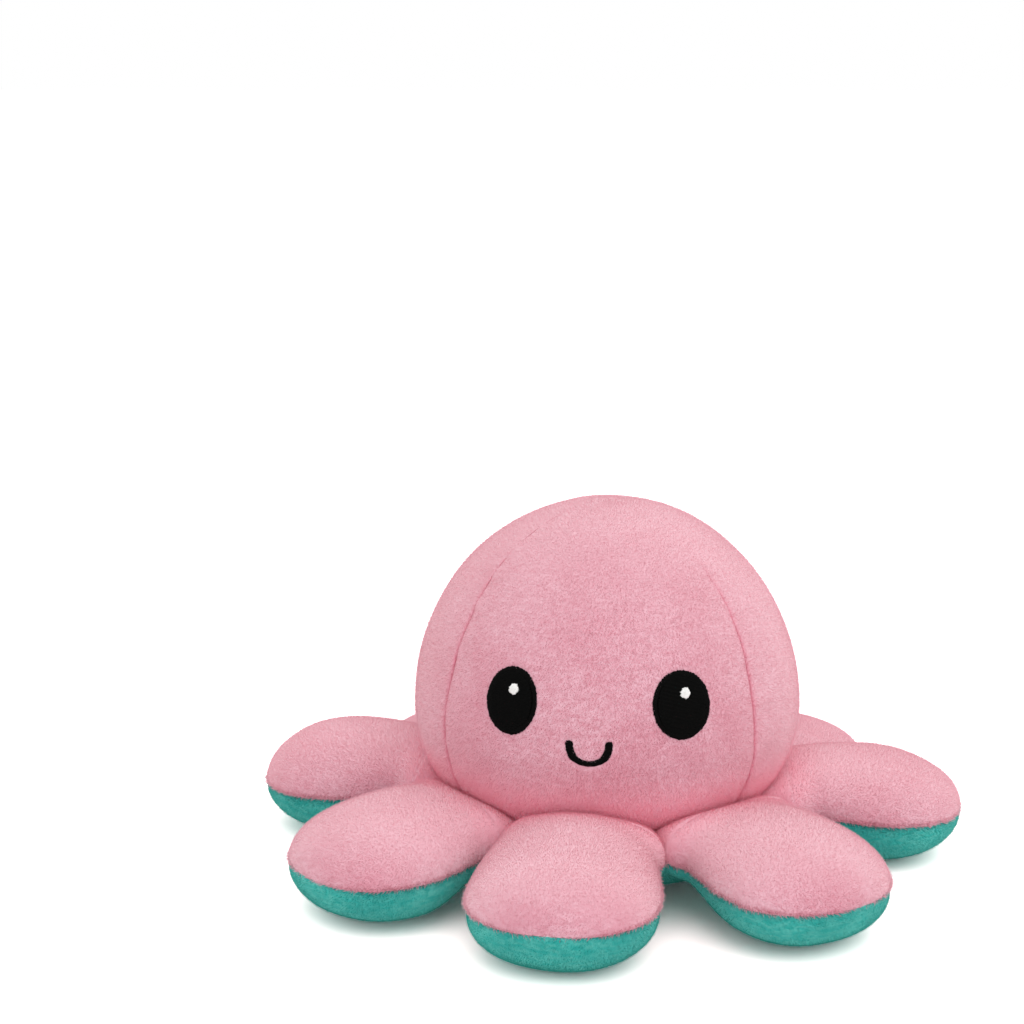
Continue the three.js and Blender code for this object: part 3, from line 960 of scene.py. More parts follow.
@dataclass(frozen=True)
class Pocket(Skin):
    """The second head, folded up inside the first as the lining of its pocket, in loose folds."""

    title: str = "pocket"
    slot: Slot = Slot.TEAL
    finish: Plush = TEAL
    seed: int = 60
    radius: float = 27 * MM
    mouth_radius: float = 23 * MM
    top: float = 70 * MM
    waist_height: float = 40 * MM
    mouth_height: float = 9 * MM
    dome_share: float = 0.6
    fold: float = 1.2 * MM
    fold_length: float = 8 * MM
    stitch_depth: float = 0.8 * MM
    stitch_reach: float = 1.5 * MM
    rows: int = 70
    columns: int = 60

    def surface(self, sweep: Field, bearing: Field, proud: Field | float = 0.0) -> tuple[Grid, Grid, Field]:
        """The lining's plush surface.

        Args:
            sweep: from its top at 0 down to its mouth at 1.
            bearing: from the face towards +X.
            proud: how far into the hollow.

        Returns:
            The points, their normals and the nearness of a seam from 0 to 1.
        """
        sweep, bearing = np.broadcast_arrays(sweep, bearing)
        angle = np.pi / 2 * np.clip(sweep / self.dome_share, 0, 1)
        down = np.clip((sweep - self.dome_share) / (1 - self.dome_share), 0, 1)
        rise = self.top - self.waist_height
        radius = self.radius * np.sin(angle) - (self.radius - self.mouth_radius) * smooth(down)
        height = self.waist_height + rise * np.cos(angle) - (self.waist_height - self.mouth_height) * down
        out, up = np.sin(angle) / self.radius, np.cos(angle) / rise
        size = np.hypot(out, up)
        normals = spot(bearing, -out / size, -up / size)
        seam = np.exp(-seam_distance(bearing, radius) / self.stitch_reach) * smooth(sweep / 0.3)
        around = spot(bearing, self.radius / self.fold_length, 0 * bearing)
        around = around + np.stack([0 * height, 0 * height, height / (3 * self.fold_length)], axis=-1)
        folds = self.fold * (relief(around, 5) - 1) * smooth(sweep * 3) * (0.35 + 0.65 * smooth(sweep))
        depth = proud + folds - self.stitch_depth * seam - PILE_DEPTH
        return spot(bearing, radius, height) + normals * depth[..., None], normals, seam

    def sweep_at(self, height: Field) -> Field:
        """The sweep at which the lining reaches a height."""
        dome = np.arccos(np.clip((height - self.waist_height) / (self.top - self.waist_height), 0, 1))
        down = np.clip((self.waist_height - height) / (self.waist_height - self.mouth_height), 0, 1)
        return dome / (np.pi / 2) * self.dome_share + down * (1 - self.dome_share)

    def radius_at(self, height: Field) -> Field:
        """The lining's radius at a height, without its folds."""
        rise = np.clip((height - self.waist_height) / (self.top - self.waist_height), 0, 1)
        down = smooth((self.waist_height - height) / (self.waist_height - self.mouth_height))
        return self.radius * np.sqrt(1 - rise**2) - (self.radius - self.mouth_radius) * down

    def at(self, height: Field, bearing: Field, proud: Field) -> Grid:
        """Points at a height on the lining."""
        return self.surface(self.sweep_at(height), bearing, proud)[0]

    def panel(self, start: float, end: float) -> tuple[Grid, Grid, Marks]:
        """The points, normals and own marks of the panel between two bearings in degrees.

        Args:
            start: the bearing of its first seam.
            end: the bearing of its second seam.

        Returns:
            The panel's points, their normals and the marks that only this head has.
        """
        bearing = np.radians(np.linspace(start, end, self.columns))[None, :]
        face, normals, seam = self.surface(np.linspace(0, 1, self.rows)[:, None], bearing)
        return face, normals, {"seam": seam}


def build_filling(head: Head, pocket: Pocket) -> None:
    """Makes the loose filling between the two heads and in the ring, closed all round.

    Args:
        head: the skin round it.
        pocket: the lining of its hollow.
    """
    inset = FABRIC + 1 * MM
    bearing = np.linspace(0, 2 * np.pi, 73)[None, :-1]
    dome = head.surface(np.linspace(0, head.crease_angle, 30)[:, None], bearing, -inset)[0]
    ring = ((40.5, 18), (46, 16.5), (46, 12.5), (36, 7.9), (29, 8.6))  # radius and height, in mm
    skirt = np.array([spot(bearing[0], radius * MM, np.full(72, height * MM)) for radius, height in ring])
    hollow = pocket.surface(np.linspace(1, 0, 26)[:, None], bearing, -inset)[0]
    fill = skinned("head_fill", np.concatenate([dome, skirt, hollow]))
    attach(finish_piece(fill, Slot.FILL, FILL.material(), ("head_stuffing",)), ROOT)


@dataclass(frozen=True)
class Arm:
    """A stuffed arm from the crease to its tip, with its share of the ring: pink above and teal below."""

    number: int
    bearing: float
    before: float  # half the turn to the arm before it
    after: float  # half the turn to the next arm
    length: float
    rise: float
    crown_share: float
    half_width: float = 24.8 * MM
    root_half_width: float = 17.2 * MM
    cover_root: float = 20.6 * MM  # the covers' half width at the root, where the next arm leaves room
    seam_root_height: float = 17.3 * MM
    seam_tip_height: float = 14.8 * MM
    root_drop: float = 7.2 * MM
    crease_radius: float = 43.4 * MM
    crease_height: float = 20.6 * MM
    ring_radius: float = 50.5 * MM
    root_radius: float = 51 * MM
    foot_radius: float = 36 * MM
    bend_end: float = 66 * MM
    crease_reach: float = 1.5 * MM
    painted_bounce_reach: float = 20 * MM
    hem: float = 0.8 * MM
    hem_turn: float = 0.06
    pucker: float = 0.35 * MM
    pucker_length: float = 2.6 * MM
    pucker_reach: float = 0.09
    lump: float = 0.8 * MM
    lump_length: float = 19 * MM
    widest_share: float = 0.53
    belly_share: float = 0.5
    web_share: float = 0.15
    hem_share: float = 0.1
    root_room: float = 0.985  # of the way to the next arm, which a cover's root may fill
    shoulder_power: float = 2.5
    belly_power: float = 0.7
    root_arch: float = 0.75  # the top is boxy at its root and rounder from its middle on
    arch_gain: float = 0.55
    tuck_reach: float = 0.12
    top_hem_reach: float = 0.03
    under_hem_reach: float = 0.04
    hem_mark: float = 0.15
    painted_crease_shade: float = 0.6
    painted_bounce_most: float = 0.8
    ring_rows: int = 12
    arm_rows: int = 64
    columns: int = 76

    @staticmethod
    def swell(share: Field, root: float, peak: float, peak_share: float) -> Field:
        """The swell of a limb: up to its peak, and round to nothing at its nose.

        Args:
            share: of the way down the limb.
            root: its size at the root.
            peak: its greatest size.
            peak_share: where that is.

        Returns:
            The size at each share.
        """
        rising = root + (peak - root) * np.sin(np.pi / 2 * np.clip(share / peak_share, 0, 1)) ** 2
        beyond = np.clip((share - peak_share) / (1 - peak_share), 0, 1)
        return np.where(share < peak_share, rising, peak * np.sqrt(1 - beyond**NOSE_POWER))

    def seam_height(self, share: Field) -> Field:
        """The height of the seam round the arm's edge."""
        held = np.clip(share, 0, 1)
        return self.seam_root_height + (self.seam_tip_height - self.seam_root_height) * held

    def half_turn(self, across: Field) -> Field:
        """Half the turn to the neighbour on the side of a place across the arm."""
        return np.where(across < 0, self.before, self.after)

    def width(self, share: Field, across: Field) -> Field:
        """Half the arm's width on one side, with the web to the next arm at its root.

        Args:
            share: of the way down the arm.
            across: below 0 on one side and above it on the other.

        Returns:
            The half width.
        """
        ring = self.ring_radius * np.tan(self.half_turn(across))
        root = np.minimum(self.cover_root, self.root_room * ring)
        arm = self.swell(np.clip(share, 0, 1), root, self.half_width, self.widest_share)
        return arm + (ring - root) * (1 - smooth(share / self.web_share))

    def top_rise(self, share: Field) -> Field:
        """How far the arm's top stands above its seam, from the crease to the nose.

        Args:
            share: of the way down the arm, below 0 over the ring.

        Returns:
            The rise at the middle of the top.
        """
        crease_share = (self.crease_radius - self.root_radius) / self.length
        start = self.crease_height - self.seam_root_height
        back = np.clip((self.crown_share - share) / (self.crown_share - crease_share), 0, 1)
        rising = start + (self.rise - start) * np.sqrt(1 - back**self.shoulder_power)
        beyond = np.clip((share - self.crown_share) / (1 - self.crown_share), 0, 1)
        return np.where(share < self.crown_share, rising, self.rise * np.sqrt(1 - beyond**NOSE_POWER))

    def belly_drop(self, share: Field) -> Field:
        """How far the arm's underside hangs below its seam."""
        peak = float(self.seam_height(np.array(self.belly_share)))
        return self.swell(np.clip(share, 0, 1), self.root_drop, peak, self.belly_share)

    def stations(self) -> tuple[Field, Field]:
        """Rows down the arm.

        Returns:
            How far out over the ring each row is, 1 on the arm, and each row's share of the arm's length.
        """
        ring = np.linspace(0, 1, self.ring_rows)[:-1]
        arm = np.sin(np.pi / 2 * np.linspace(0, 1, self.arm_rows)) ** ROW_POWER
        out = np.concatenate([ring, np.ones_like(arm)])
        return out[:, None], np.concatenate([np.zeros_like(ring), arm])[:, None]

    def laid(self, x: Field, aside: Field, height: Field) -> Grid:
        """Points at a distance out along the arm, aside of it and above the table."""
        return spot(np.array(self.bearing), x, height, aside)

    def footprint(self, out: Field, share: Field, aside: Field, inner_radius: float) -> tuple[Field, Field]:
        """How far out and aside a cover's points lie, drawn in to an inner radius over the ring.

        Args:
            out: how far out over the ring each row is, 1 on the arm.
            share: each row's share of the arm's length.
            aside: how far each point is from the arm's middle line.
            inner_radius: where the ring's rows begin.

        Returns:
            The distances along the arm, and aside of it.
        """
        x = self.ring_radius + share * (self.length + self.root_radius - self.ring_radius)
        far = np.hypot(x, aside)
        inner = (inner_radius + (far - inner_radius) * out) / far
        return np.where(out < 1, x * inner, x), np.where(out < 1, aside * inner, aside)

    def relieved(self, face: Grid, out: Field, share: Field, seed: int) -> tuple[Grid, Grid]:
        """Adds lumps, and puckers near the seam, but none where a cover meets the next arm's or its nose.

        Args:
            face: the smooth points.
            out: how far out over the ring each row is.
            share: each row's share of the arm's length.
            seed: picks the relief.

        Returns:
            The points and their normals.
        """
        turn = np.linspace(0, 1, face.shape[1])[None, :]
        free = np.where(out < 1, np.sin(np.pi * turn) ** 0.5 * out, 1.0) * np.clip((1 - share) * 8, 0, 1)
        normals = grid_normals(face)
        middle = face.mean(axis=(0, 1))
        if np.einsum("ijk,ijk->ij", normals, face - middle).mean() < 0:
            normals = -normals
        across = np.linspace(-1, 1, face.shape[1])[None, :]
        near = np.exp(-(1 - np.abs(across)) / self.pucker_reach)
        puckers = self.pucker * relief(face / self.pucker_length, seed) * near
        lumps = self.lump * relief(face / self.lump_length, 31)
        raised = face + normals * (free * (lumps + puckers - PILE_DEPTH))[..., None]
        raised[..., 2] = np.maximum(raised[..., 2], 0)
        return raised, normals

    def top(self) -> tuple[Grid, Grid, Marks]:
        """The pink top.

        Returns:
            Its points, their normals and its marks.
        """
        out, share = self.stations()
        turn = np.linspace(0, 1, self.columns)[None, :]
        hem = self.hem_turn * smooth(share / self.hem_share) * (out == 1)
        angle = turn * (np.pi + 2 * hem) - hem
        across = -np.cos(angle)
        x, aside = self.footprint(out, share, across * self.width(share, across), self.crease_radius)
        reach = np.where(out < 1, (np.hypot(x, aside) - self.root_radius) / self.length, share)
        base = (self.crease_height - self.seam_root_height) * (1 - out)
        above = np.sin(np.clip(angle, 0, np.pi))
        arch = above ** (self.root_arch + self.arch_gain * smooth(share / 0.5))
        rise = base + np.maximum(self.top_rise(np.where(out < 1, reach, share)) - base, 0) * arch
        under = np.where(np.sin(angle) < 0, self.belly_drop(share) * np.sin(angle), 0)
        face = self.laid(x, aside, self.seam_height(share) + rise + under)
        face, normals = self.relieved(face, out, share, 31)
        near = np.exp(-above / self.top_hem_reach) * (share > 0)
        near = np.broadcast_to(near, face.shape[:2])
        beyond = np.maximum(np.hypot(face[..., 0], face[..., 1]) - self.crease_radius, 0)
        # Painted shade: the seam colour darkens the cover towards the crease, where shade falls, beside the
        # dark hem line.
        seam = np.maximum(self.hem_mark * near, self.painted_crease_shade * np.exp(-beyond / self.crease_reach))
        # Painted bounce light: a brighter pink painted on the cover near the crease.
        painted_bounce = self.painted_bounce_most * (1 - smooth(beyond / self.painted_bounce_reach))
        return face, normals, self.marked(face, seam, near, painted_bounce)

    def underside(self) -> tuple[Grid, Grid, Marks]:
        """The teal underside.

        Returns:
            Its points, their normals and its marks.
        """
        out, share = self.stations()
        angle = np.pi * np.linspace(0, 1, self.columns)[None, :]
        across = -np.cos(angle)
        tuck = self.hem * np.exp(-np.sin(angle) / self.tuck_reach) * smooth(share / self.hem_share)
        aside = across * np.maximum(self.width(share, across) - tuck, 0)
        x, aside = self.footprint(out, share, aside, self.foot_radius)
        belly = self.belly_drop(share) * np.sin(angle) ** self.belly_power
        edge_height = self.seam_height(share) - belly
        height = np.where(out < 1, FOOT_LIFT + (edge_height - FOOT_LIFT) * out**2, edge_height)
        face = self.laid(x, aside, height)
        face, normals = self.relieved(face, out, share, 47)
        near = np.exp(-np.sin(angle) / self.under_hem_reach) * (share > 0)
        near = np.broadcast_to(near, face.shape[:2])
        return face, normals, self.marked(face, near, 0 * near, 0 * near)

    @staticmethod
    def marked(face: Grid, seam: Field, hem: Field, painted_bounce: Field) -> Marks:
        """A cover's marks by name."""
        plush = np.ones(face.shape[:2])
        return {"plush": plush, "nap": nap_down(face), "seam": seam, "hem": hem, "painted_bounce": painted_bounce}

    def stuffing(self) -> Grid:
        """Loops round the arm's filling, from its root to its nose."""
        inset = FABRIC + 0.6 * MM
        share = np.sin(np.pi / 2 * np.linspace(0, 1, 26))[:, None] ** ROW_POWER
        angle = np.linspace(0, 2 * np.pi, 41)[None, :-1]
        width = self.swell(share, self.root_half_width, self.half_width, self.widest_share)
        width = width * (1 - inset / self.half_width)
        above = self.top_rise(share) * (1 - inset / self.rise)
        drop = self.belly_drop(share) - inset
        rise = np.where(np.sin(angle) > 0, above, np.maximum(drop, 0)) * np.sin(angle)
        x = self.root_radius + share * (self.length - inset)
        loops = self.laid(x, -np.cos(angle) * width, self.seam_height(share) + rise)
        middle = np.broadcast_to(loops[:1].mean(axis=1, keepdims=True), loops[:1].shape)
        loops = np.concatenate([middle, loops])
        loops[-1] = loops[-1].mean(axis=0)
        return loops

    def carry(self, piece: bpy.types.Object) -> None:
        """Keeps a piece where it is, with its place baked into its mesh."""
        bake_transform(piece)

    def build(self, pile: Pile) -> dict[str, tuple]:
        """Makes the arm's covers, pile and stuffing.

        Args:
            pile: the pile that grows on its covers.

        Returns:
            The arm's share of the ring's top and bottom: face, normals and marks.
        """
        name = f"tentacle_{self.number}"
        shares = {}
        first = self.ring_rows - 1
        parts = (("top", PINK, Slot.PINK, self.top()), ("bottom", TEAL, Slot.TEAL, self.underside()))
        for side, finish, slot, (face, normals, marks) in parts:
            shares[side] = tuple(part[: self.ring_rows] for part in (face, normals, *marks.values()))
            own = {key: values[first:] for key, values in marks.items()}
            cover = cloth(f"{name}_{side}_plush", face[first:], normals[first:], own)
            self.carry(finish_piece(cover, slot, finish.material(), (f"{name}_{side}_cover",)))
            seed = 100 + 2 * self.number + (side == "top")
            fibres = pile.grow(cover, finish, f"{name}_{side}_pile", seed)
            self.carry(finish_piece(fibres, slot, finish.material()))
        fill = skinned(f"{name}_fill", self.stuffing())
        self.carry(finish_piece(fill, Slot.FILL, FILL.material(), (f"{name}_stuffing",)))
        return shares


@dataclass(frozen=True)
class Arms:
    """The eight arms and the ring of cloth that carries them, from the crease out and from the mouth out."""

    bearings: tuple[float, ...] = (-5, 44, 98, 137.75, 177.5, 217.25, 257, 310.5)
    lengths: tuple[float, ...] = (47.8, 47.8, 50.6, 47.8, 47.8, 47.8, 52.5, 47.8)
    rises: tuple[float, ...] = (14.2, 14.2, 13.8, 9.8, 9.8, 8, 15.8, 14.2)
    crowns: tuple[float, ...] = (0.38, 0.38, 0.46, 0.38, 0.38, 0.38, 0.46, 0.44)
    foot_radius: float = 36 * MM
    mouth_roll: float = 13 * MM
    mouth_height: float = 9 * MM
    mouth_rows: int = 14

    def build(self, pile: Pile) -> None:
        """Makes each arm, and then the ring from their shares of it.

        Args:
            pile: the pile that grows on the covers.
        """
        count = len(self.bearings)
        shares = []
        for k, bearing in enumerate(self.bearings):
            before = (bearing - self.bearings[k - 1]) % 360 / 2
            after = (self.bearings[(k + 1) % count] - bearing) % 360 / 2
            turns = (math.radians(degrees) for degrees in (bearing, before, after))
            length, rise = self.lengths[k] * MM, self.rises[k] * MM
            shares.append(Arm(k + 1, *turns, length, rise, self.crowns[k]).build(pile))
        for side, finish, slot in (("top", PINK, Slot.PINK), ("bottom", TEAL, Slot.TEAL)):
            parts = zip(*(share[side] for share in shares))
            grids = [np.concatenate([part[:, :-1] for part in row], axis=1) for row in parts]
            if side == "bottom":
                grids = self.with_mouth(*grids)
            face, normals, *rest = grids
            marks = dict(zip(("plush", "nap", "seam", "hem", "painted_bounce"), rest))
            ring = ring_cloth(f"ring_{side}_plush", face, normals, marks)
            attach(finish_piece(ring, slot, finish.material(), (f"ring_{side}_cover",)), ROOT)
            fibres = pile.grow(ring, finish, f"ring_{side}_pile", seed=90 + (side == "top"))
            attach(finish_piece(fibres, slot, finish.material()), ROOT)

    def with_mouth(
        self, face: Grid, normals: Grid, plush: Field, nap: Grid, *others: Field
    ) -> tuple[Grid, ...]:
        """Adds the roll from the foot in to the pocket's mouth, inside the ring's underside.

        Args:
            face: the ring's points.
            normals: their normals.
            plush: how dense their pile is.
            nap: which way it lies.
            others: marks that are nothing on the roll.

        Returns:
            The same, with the roll's rows first.
        """
        turn = np.pi / 2 * np.linspace(1, 0, self.mouth_rows)[:-1, None]
        bearing = np.arctan2(face[0, :, 0], -face[0, :, 1])[None, :]
        radius = self.foot_radius - self.mouth_roll * np.sin(turn)
        height = FOOT_LIFT + (self.mouth_height - FOOT_LIFT) * (1 - np.cos(turn))
        roll = spot(bearing, radius, height)
        out = spot(bearing, -np.sin(turn), -np.cos(turn) + 0 * bearing)
        ones = np.ones(roll.shape[:2])
        lay = spot(bearing, np.cos(turn), -np.sin(turn) + 0 * bearing)
        added = (roll, out, ones, lay, *(0 * ones for _ in others))
        return tuple(np.concatenate([a, b]) for a, b in zip(added, (face, normals, plush, nap, *others)))


Wall = Callable[[Field, Field, Field], Grid]  # across, up and proud of a place on the cloth, to points
Outline = Callable[[Field], Field]  # the reach of a patch from its middle at each angle


def oval(half_width: float, half_height: float) -> Outline:
    """The outline of an oval.

    Args:
        half_width: of the oval.
        half_height: of the oval.

    Returns:
        Its outline.
    """
    return lambda angle: 1 / np.hypot(np.cos(angle) / half_width, np.sin(angle) / half_height)


def scowl(half_width: float, half_height: float, slant: float, brow_share: float) -> Outline:
    """An oval cut off above by a slanting brow.

    Args:
        half_width: of the oval.
        half_height: of the oval.
        slant: of the brow, in radians.
        brow_share: how high up the oval the brow cuts it.

    Returns:
        Its outline.
    """

    def reach(angle: Field) -> Field:
        """The reach at an angle."""
        rise = math.cos(slant) * np.sin(angle) - math.sin(slant) * np.cos(angle)
        brow = brow_share * half_height / np.maximum(rise, 1e-6)
        return np.minimum(oval(half_width, half_height)(angle), brow)

    return reach


@dataclass(frozen=True)
class Embroidery:
    """Machine embroidery on a wall: a padded patch under a satin border and rows of fill stitches."""

    wall: Wall
    pitch: float = 0.33 * MM
    border: float = 1.35 * MM
    edge_proud: float = 0.3 * MM
    crown_proud: float = 0.75 * MM
    arch: float = 0.3 * MM
    stitch_length: float = 3.2 * MM
    ragged: float = 0.16 * MM
    small_ragged: float = 1.3  # how much rougher a small patch's edge is
    border_most: float = 0.55  # of a small patch's reach, which its border may take
    overlap: float = 0.85  # of the border, which the fill stitches leave free
    shift: float = 0.37  # of a stitch, by which each row of fill is set off from the last
    fill_arch: float = 0.1 * MM
    sunk: float = 0.5 * MM
    line_half_width: float = 0.97 * MM

    def proud(self, share: Field) -> Field:
        """How far the patch stands out, from its middle to its edge."""
        return self.edge_proud + (self.crown_proud - self.edge_proud) * (1 - share**2)

    def padding(
        self, name: str, outline: Outline, middle: tuple[float, float], lift: float
    ) -> bpy.types.Object:
        """The closed pad under a patch's stitches.

        Args:
            name: the pad's name.
            outline: of the patch.
            middle: its place across and up.
            lift: how far it lies over the cloth.

        Returns:
            The pad.
        """
        angle = np.linspace(0, 2 * np.pi, 97)[None, :-1]
        share = np.linspace(0, 1, 14)[:, None]
        reach = outline(angle) * share
        across, up = middle[0] + reach * np.cos(angle), middle[1] + reach * np.sin(angle)
        front = self.wall(across, up, self.proud(share) + lift - self.radius_of_thread())
        back = self.wall(across, up, np.full_like(across, lift - self.sunk))
        return skinned(name, np.concatenate([back, front[::-1]]))

    @staticmethod
    def radius_of_thread() -> float:
        """How far the pad lies below the stitches' middles."""
        return Stitching().radius * 0.4

    def stitch(self, start: np.ndarray, end: np.ndarray, low: float, high: float, arch: float) -> np.ndarray:
        """One stitch over the cloth.

        Args:
            start: across and up.
            end: across and up.
            low: proud of the cloth at its start.
            high: and at its end.
            arch: how far its middle stands above that.

        Returns:
            Its points.
        """
        k = np.linspace(0, 1, 5)
        place = start + (end - start) * k[:, None]
        proud = low + (high - low) * k + arch * (np.sin(np.pi * k) - 0.6)
        return self.wall(place[:, 0], place[:, 1], proud)

    def patch(
        self, outline: Outline, middle: tuple[float, float], lift: float, seed: int
    ) -> list[np.ndarray]:
        """The border and fill stitches of a patch. A small patch has the rougher edge.

        Args:
            outline: of the patch.
            middle: its place across and up.
            lift: how far it lies over the cloth.
            seed: frays its edge.

        Returns:
            The points of each stitch.
        """
        random = np.random.default_rng(seed)
        centre = np.array(middle)
        mean_reach = float(outline(np.linspace(0, 2 * np.pi, 90)).mean())
        border = min(self.border, self.border_most * mean_reach)
        ragged = self.ragged * (self.small_ragged if border < self.border else 1)
        lines = []
        for angle in np.linspace(0, 2 * np.pi, int(2 * np.pi * mean_reach / self.pitch)):
            reach = float(outline(np.array(angle)))
            out = np.array((math.cos(angle), math.sin(angle)))
            inner = 1 - border / reach
            outer = 1 + random.uniform(-1, 1) * ragged / reach
            ends = [centre + out * reach * share for share in (inner, outer)]
            low, high = (float(self.proud(np.array(min(share, 1)))) + lift for share in (inner, outer))
            lines.append(self.stitch(ends[0], ends[1], low, high, self.arch))
        field = np.linspace(-2 * mean_reach, 2 * mean_reach, 400)
        for row, up in enumerate(np.arange(-1.4 * mean_reach, 1.4 * mean_reach, self.pitch)):
            inside = np.hypot(field, up) < outline(np.arctan2(up, field)) - self.overlap * border
            if not inside.any():
                continue
            first, last = field[inside].min(), field[inside].max()
            step = self.stitch_length
            for cut in np.arange(first - step * (self.shift * row % 1), last, step):
                begin, stop = max(cut, first), min(cut + step, last)
                if stop - begin < self.pitch:
                    continue
                share = abs(up) / mean_reach
                height = float(self.proud(np.array(min(share, 1)))) + lift
                ends = [centre + np.array((x, up)) for x in (begin, stop)]
                lines.append(self.stitch(ends[0], ends[1], height, height, self.fill_arch))
        return lines

    def line(self, path: Callable[[Field], np.ndarray], seed: int) -> tuple[list[np.ndarray], Grid]:
        """A satin-stitched line with round ends.

        Args:
            path: across and up at shares of the line, which may run a little past 0 and 1.
            seed: frays its edges.

        Returns:
            Its stitches, and the loops of the pad under them.
        """
        random = np.random.default_rng(seed)
        fine = np.linspace(0, 1, 400)
        length = float(np.linalg.norm(np.diff(path(fine), axis=0), axis=1).sum())
        over = self.line_half_width / length
        places = np.linspace(-over, 1 + over, int(length * (1 + 2 * over) / self.pitch))
        lines, loops = [], []
        for k in places:
            here, beyond = path(np.array([k - 0.004, k + 0.004]))
            travel = (beyond - here) / np.linalg.norm(beyond - here)
            aside = np.array((-travel[1], travel[0]))
            past = max(0.0, -k, k - 1) / over
            half = self.line_half_width * math.sqrt(max(0.0, 1 - min(past, 1) ** 2))
            centre = (here + beyond) / 2
            fray = random.uniform(-1, 1, 2) * self.ragged * 0.6
            ends = [centre - aside * (half + fray[0]), centre + aside * (half + fray[1])]
            if half > 0.2 * self.line_half_width:
                lines.append(self.stitch(ends[0], ends[1], self.edge_proud, self.edge_proud, 1.5 * self.arch))
            turn = np.linspace(0, 2 * np.pi, 13)[:-1]
            spread = centre + aside * (half * np.cos(turn))[:, None]
            swell = half / self.line_half_width
            proud = (self.edge_proud + self.arch * 0.4) * np.maximum(np.sin(turn), -1) * swell
            loops.append(self.wall(spread[:, 0], spread[:, 1], proud))
        return lines, np.array(loops)


@dataclass(frozen=True)
class Face:
    """An embroidered face on a head's front panel: two eyes, a glint in each, and a mouth."""

    skin: Head | Pocket
    hand: int  # 1 on a wall seen from outside, and -1 on one seen from inside
    prefix: str
    mouth: str
    eyes: dict[str, Outline]
    eye_bearing: float
    eye_height: float
    glint_radius: float
    glint_place: tuple[float, float]
    mouth_bearing: float
    mouth_height: float
    mouth_half_width: float
    mouth_depth: float  # of its middle below its ends
    glint_lift: float = 0.45 * MM

    def wall(self, bearing: float, height: float) -> Wall:
        """The wall laid out flat round a place.

        Args:
            bearing: of the place, from the face towards +X.
            height: of the place.

        Returns:
            What turns a place on the flat cloth into a point.
        """

        def place(across: Field, up: Field, proud: Field) -> Grid:
            """Points on the wall at places on the flat cloth."""
            turned = bearing + self.hand * across / self.skin.radius_at(height + up)
            return self.skin.at(height + up, turned, proud)

        return place

    def mouth_line(self, share: Field) -> np.ndarray:
        """The mouth's line, across and up.

        Args:
            share: of the way along the line.

        Returns:
            Places on the flat cloth.
        """
        angle = np.pi * share
        across = -self.mouth_half_width * np.cos(angle)
        return np.stack([across, -self.mouth_depth * np.sin(angle)], axis=-1)

    def covered(self, points: Grid) -> Field:
        """1 where the embroidery holds the pile down, and 0 elsewhere.

        Args:
            points: on the head's cloth.

        Returns:
            A number for each point.
        """
        radius = np.hypot(points[..., 0], points[..., 1])
        bearing = np.arctan2(points[..., 0], -points[..., 1])
        hidden = np.zeros(radius.shape)
        for sign, eye in zip((-1, 1), self.eyes.values()):
            across = self.hand * (bearing - sign * self.eye_bearing) * radius
            up = points[..., 2] - self.eye_height
            reach = eye(np.arctan2(up, across)) + 0.1 * MM
            hidden = np.maximum(hidden, (np.hypot(across, up) < reach) * (np.abs(bearing) < 1))
        line = self.mouth_line(np.linspace(0, 1, 60))
        across = self.hand * (bearing - self.mouth_bearing) * radius
        flat = np.stack([across, points[..., 2] - self.mouth_height], axis=-1)
        apart = np.min([np.linalg.norm(flat - place, axis=-1) for place in line], axis=0)
        return np.maximum(hidden, (apart < 1.2 * MM) * (np.abs(bearing) < 1)).astype(float)

    def add(self, piece: bpy.types.Object, finish: Thread, nodes: tuple[str, ...] = ()) -> None:
        """Dresses a piece of the face and sets it on the head.

        Args:
            piece: the finished mesh.
            finish: its thread.
            nodes: the solids that it replaces.
        """
        slot = Slot.WHITE if finish is WHITE else Slot.BLACK
        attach(finish_piece(piece, slot, finish.material(), nodes), ROOT)

    def build(self) -> None:
        """Sews the eyes, their glints and the mouth."""
        sewing = Stitching()
        for (side, eye), sign in zip(self.eyes.items(), (-1, 1)):
            work = Embroidery(self.wall(sign * self.eye_bearing, self.eye_height))
            glint = oval(self.glint_radius, self.glint_radius)
            parts = (
                (f"{self.prefix}eye_{side}", eye, (0.0, 0.0), 0.0, BLACK),
                (f"{self.prefix}eye_glint_{side}", glint, self.glint_place, self.glint_lift, WHITE),
            )
            for seed, (name, outline, middle, lift, finish) in enumerate(parts):
                self.add(work.padding(f"{name}_pad", outline, middle, lift), finish, (name,))
                stitches = work.patch(outline, middle, lift, seed + 5)
                self.add(sewing.sew(stitches, finish, f"{name}_stitches"), finish)
        work = Embroidery(self.wall(self.mouth_bearing, self.mouth_height))
        stitches, loops = work.line(self.mouth_line, 9)
        self.add(skinned(f"{self.mouth}_pad", loops), BLACK, (self.mouth,))
        self.add(sewing.sew(stitches, BLACK, f"{self.mouth}_stitches"), BLACK)


def happy_face(head: Head) -> Face:
    """The smiling face outside.

    Args:
        head: the head that it is sewn on.

    Returns:
        The face.
    """
    left, right = oval(7.45 * MM, 8.7 * MM), oval(8.05 * MM, 8.8 * MM)
    return Face(
        skin=head,
        hand=1,
        prefix="",
        mouth="smile",
        eyes={"left": left, "right": right},
        eye_bearing=math.radians(25),
        eye_height=58.6 * MM,
        glint_radius=1.35 * MM,
        glint_place=(0.8 * MM, 3.1 * MM),
        mouth_bearing=math.radians(-1.6),
        mouth_height=49.2 * MM,
        mouth_half_width=5.2 * MM,
        mouth_depth=5.7 * MM,
    )


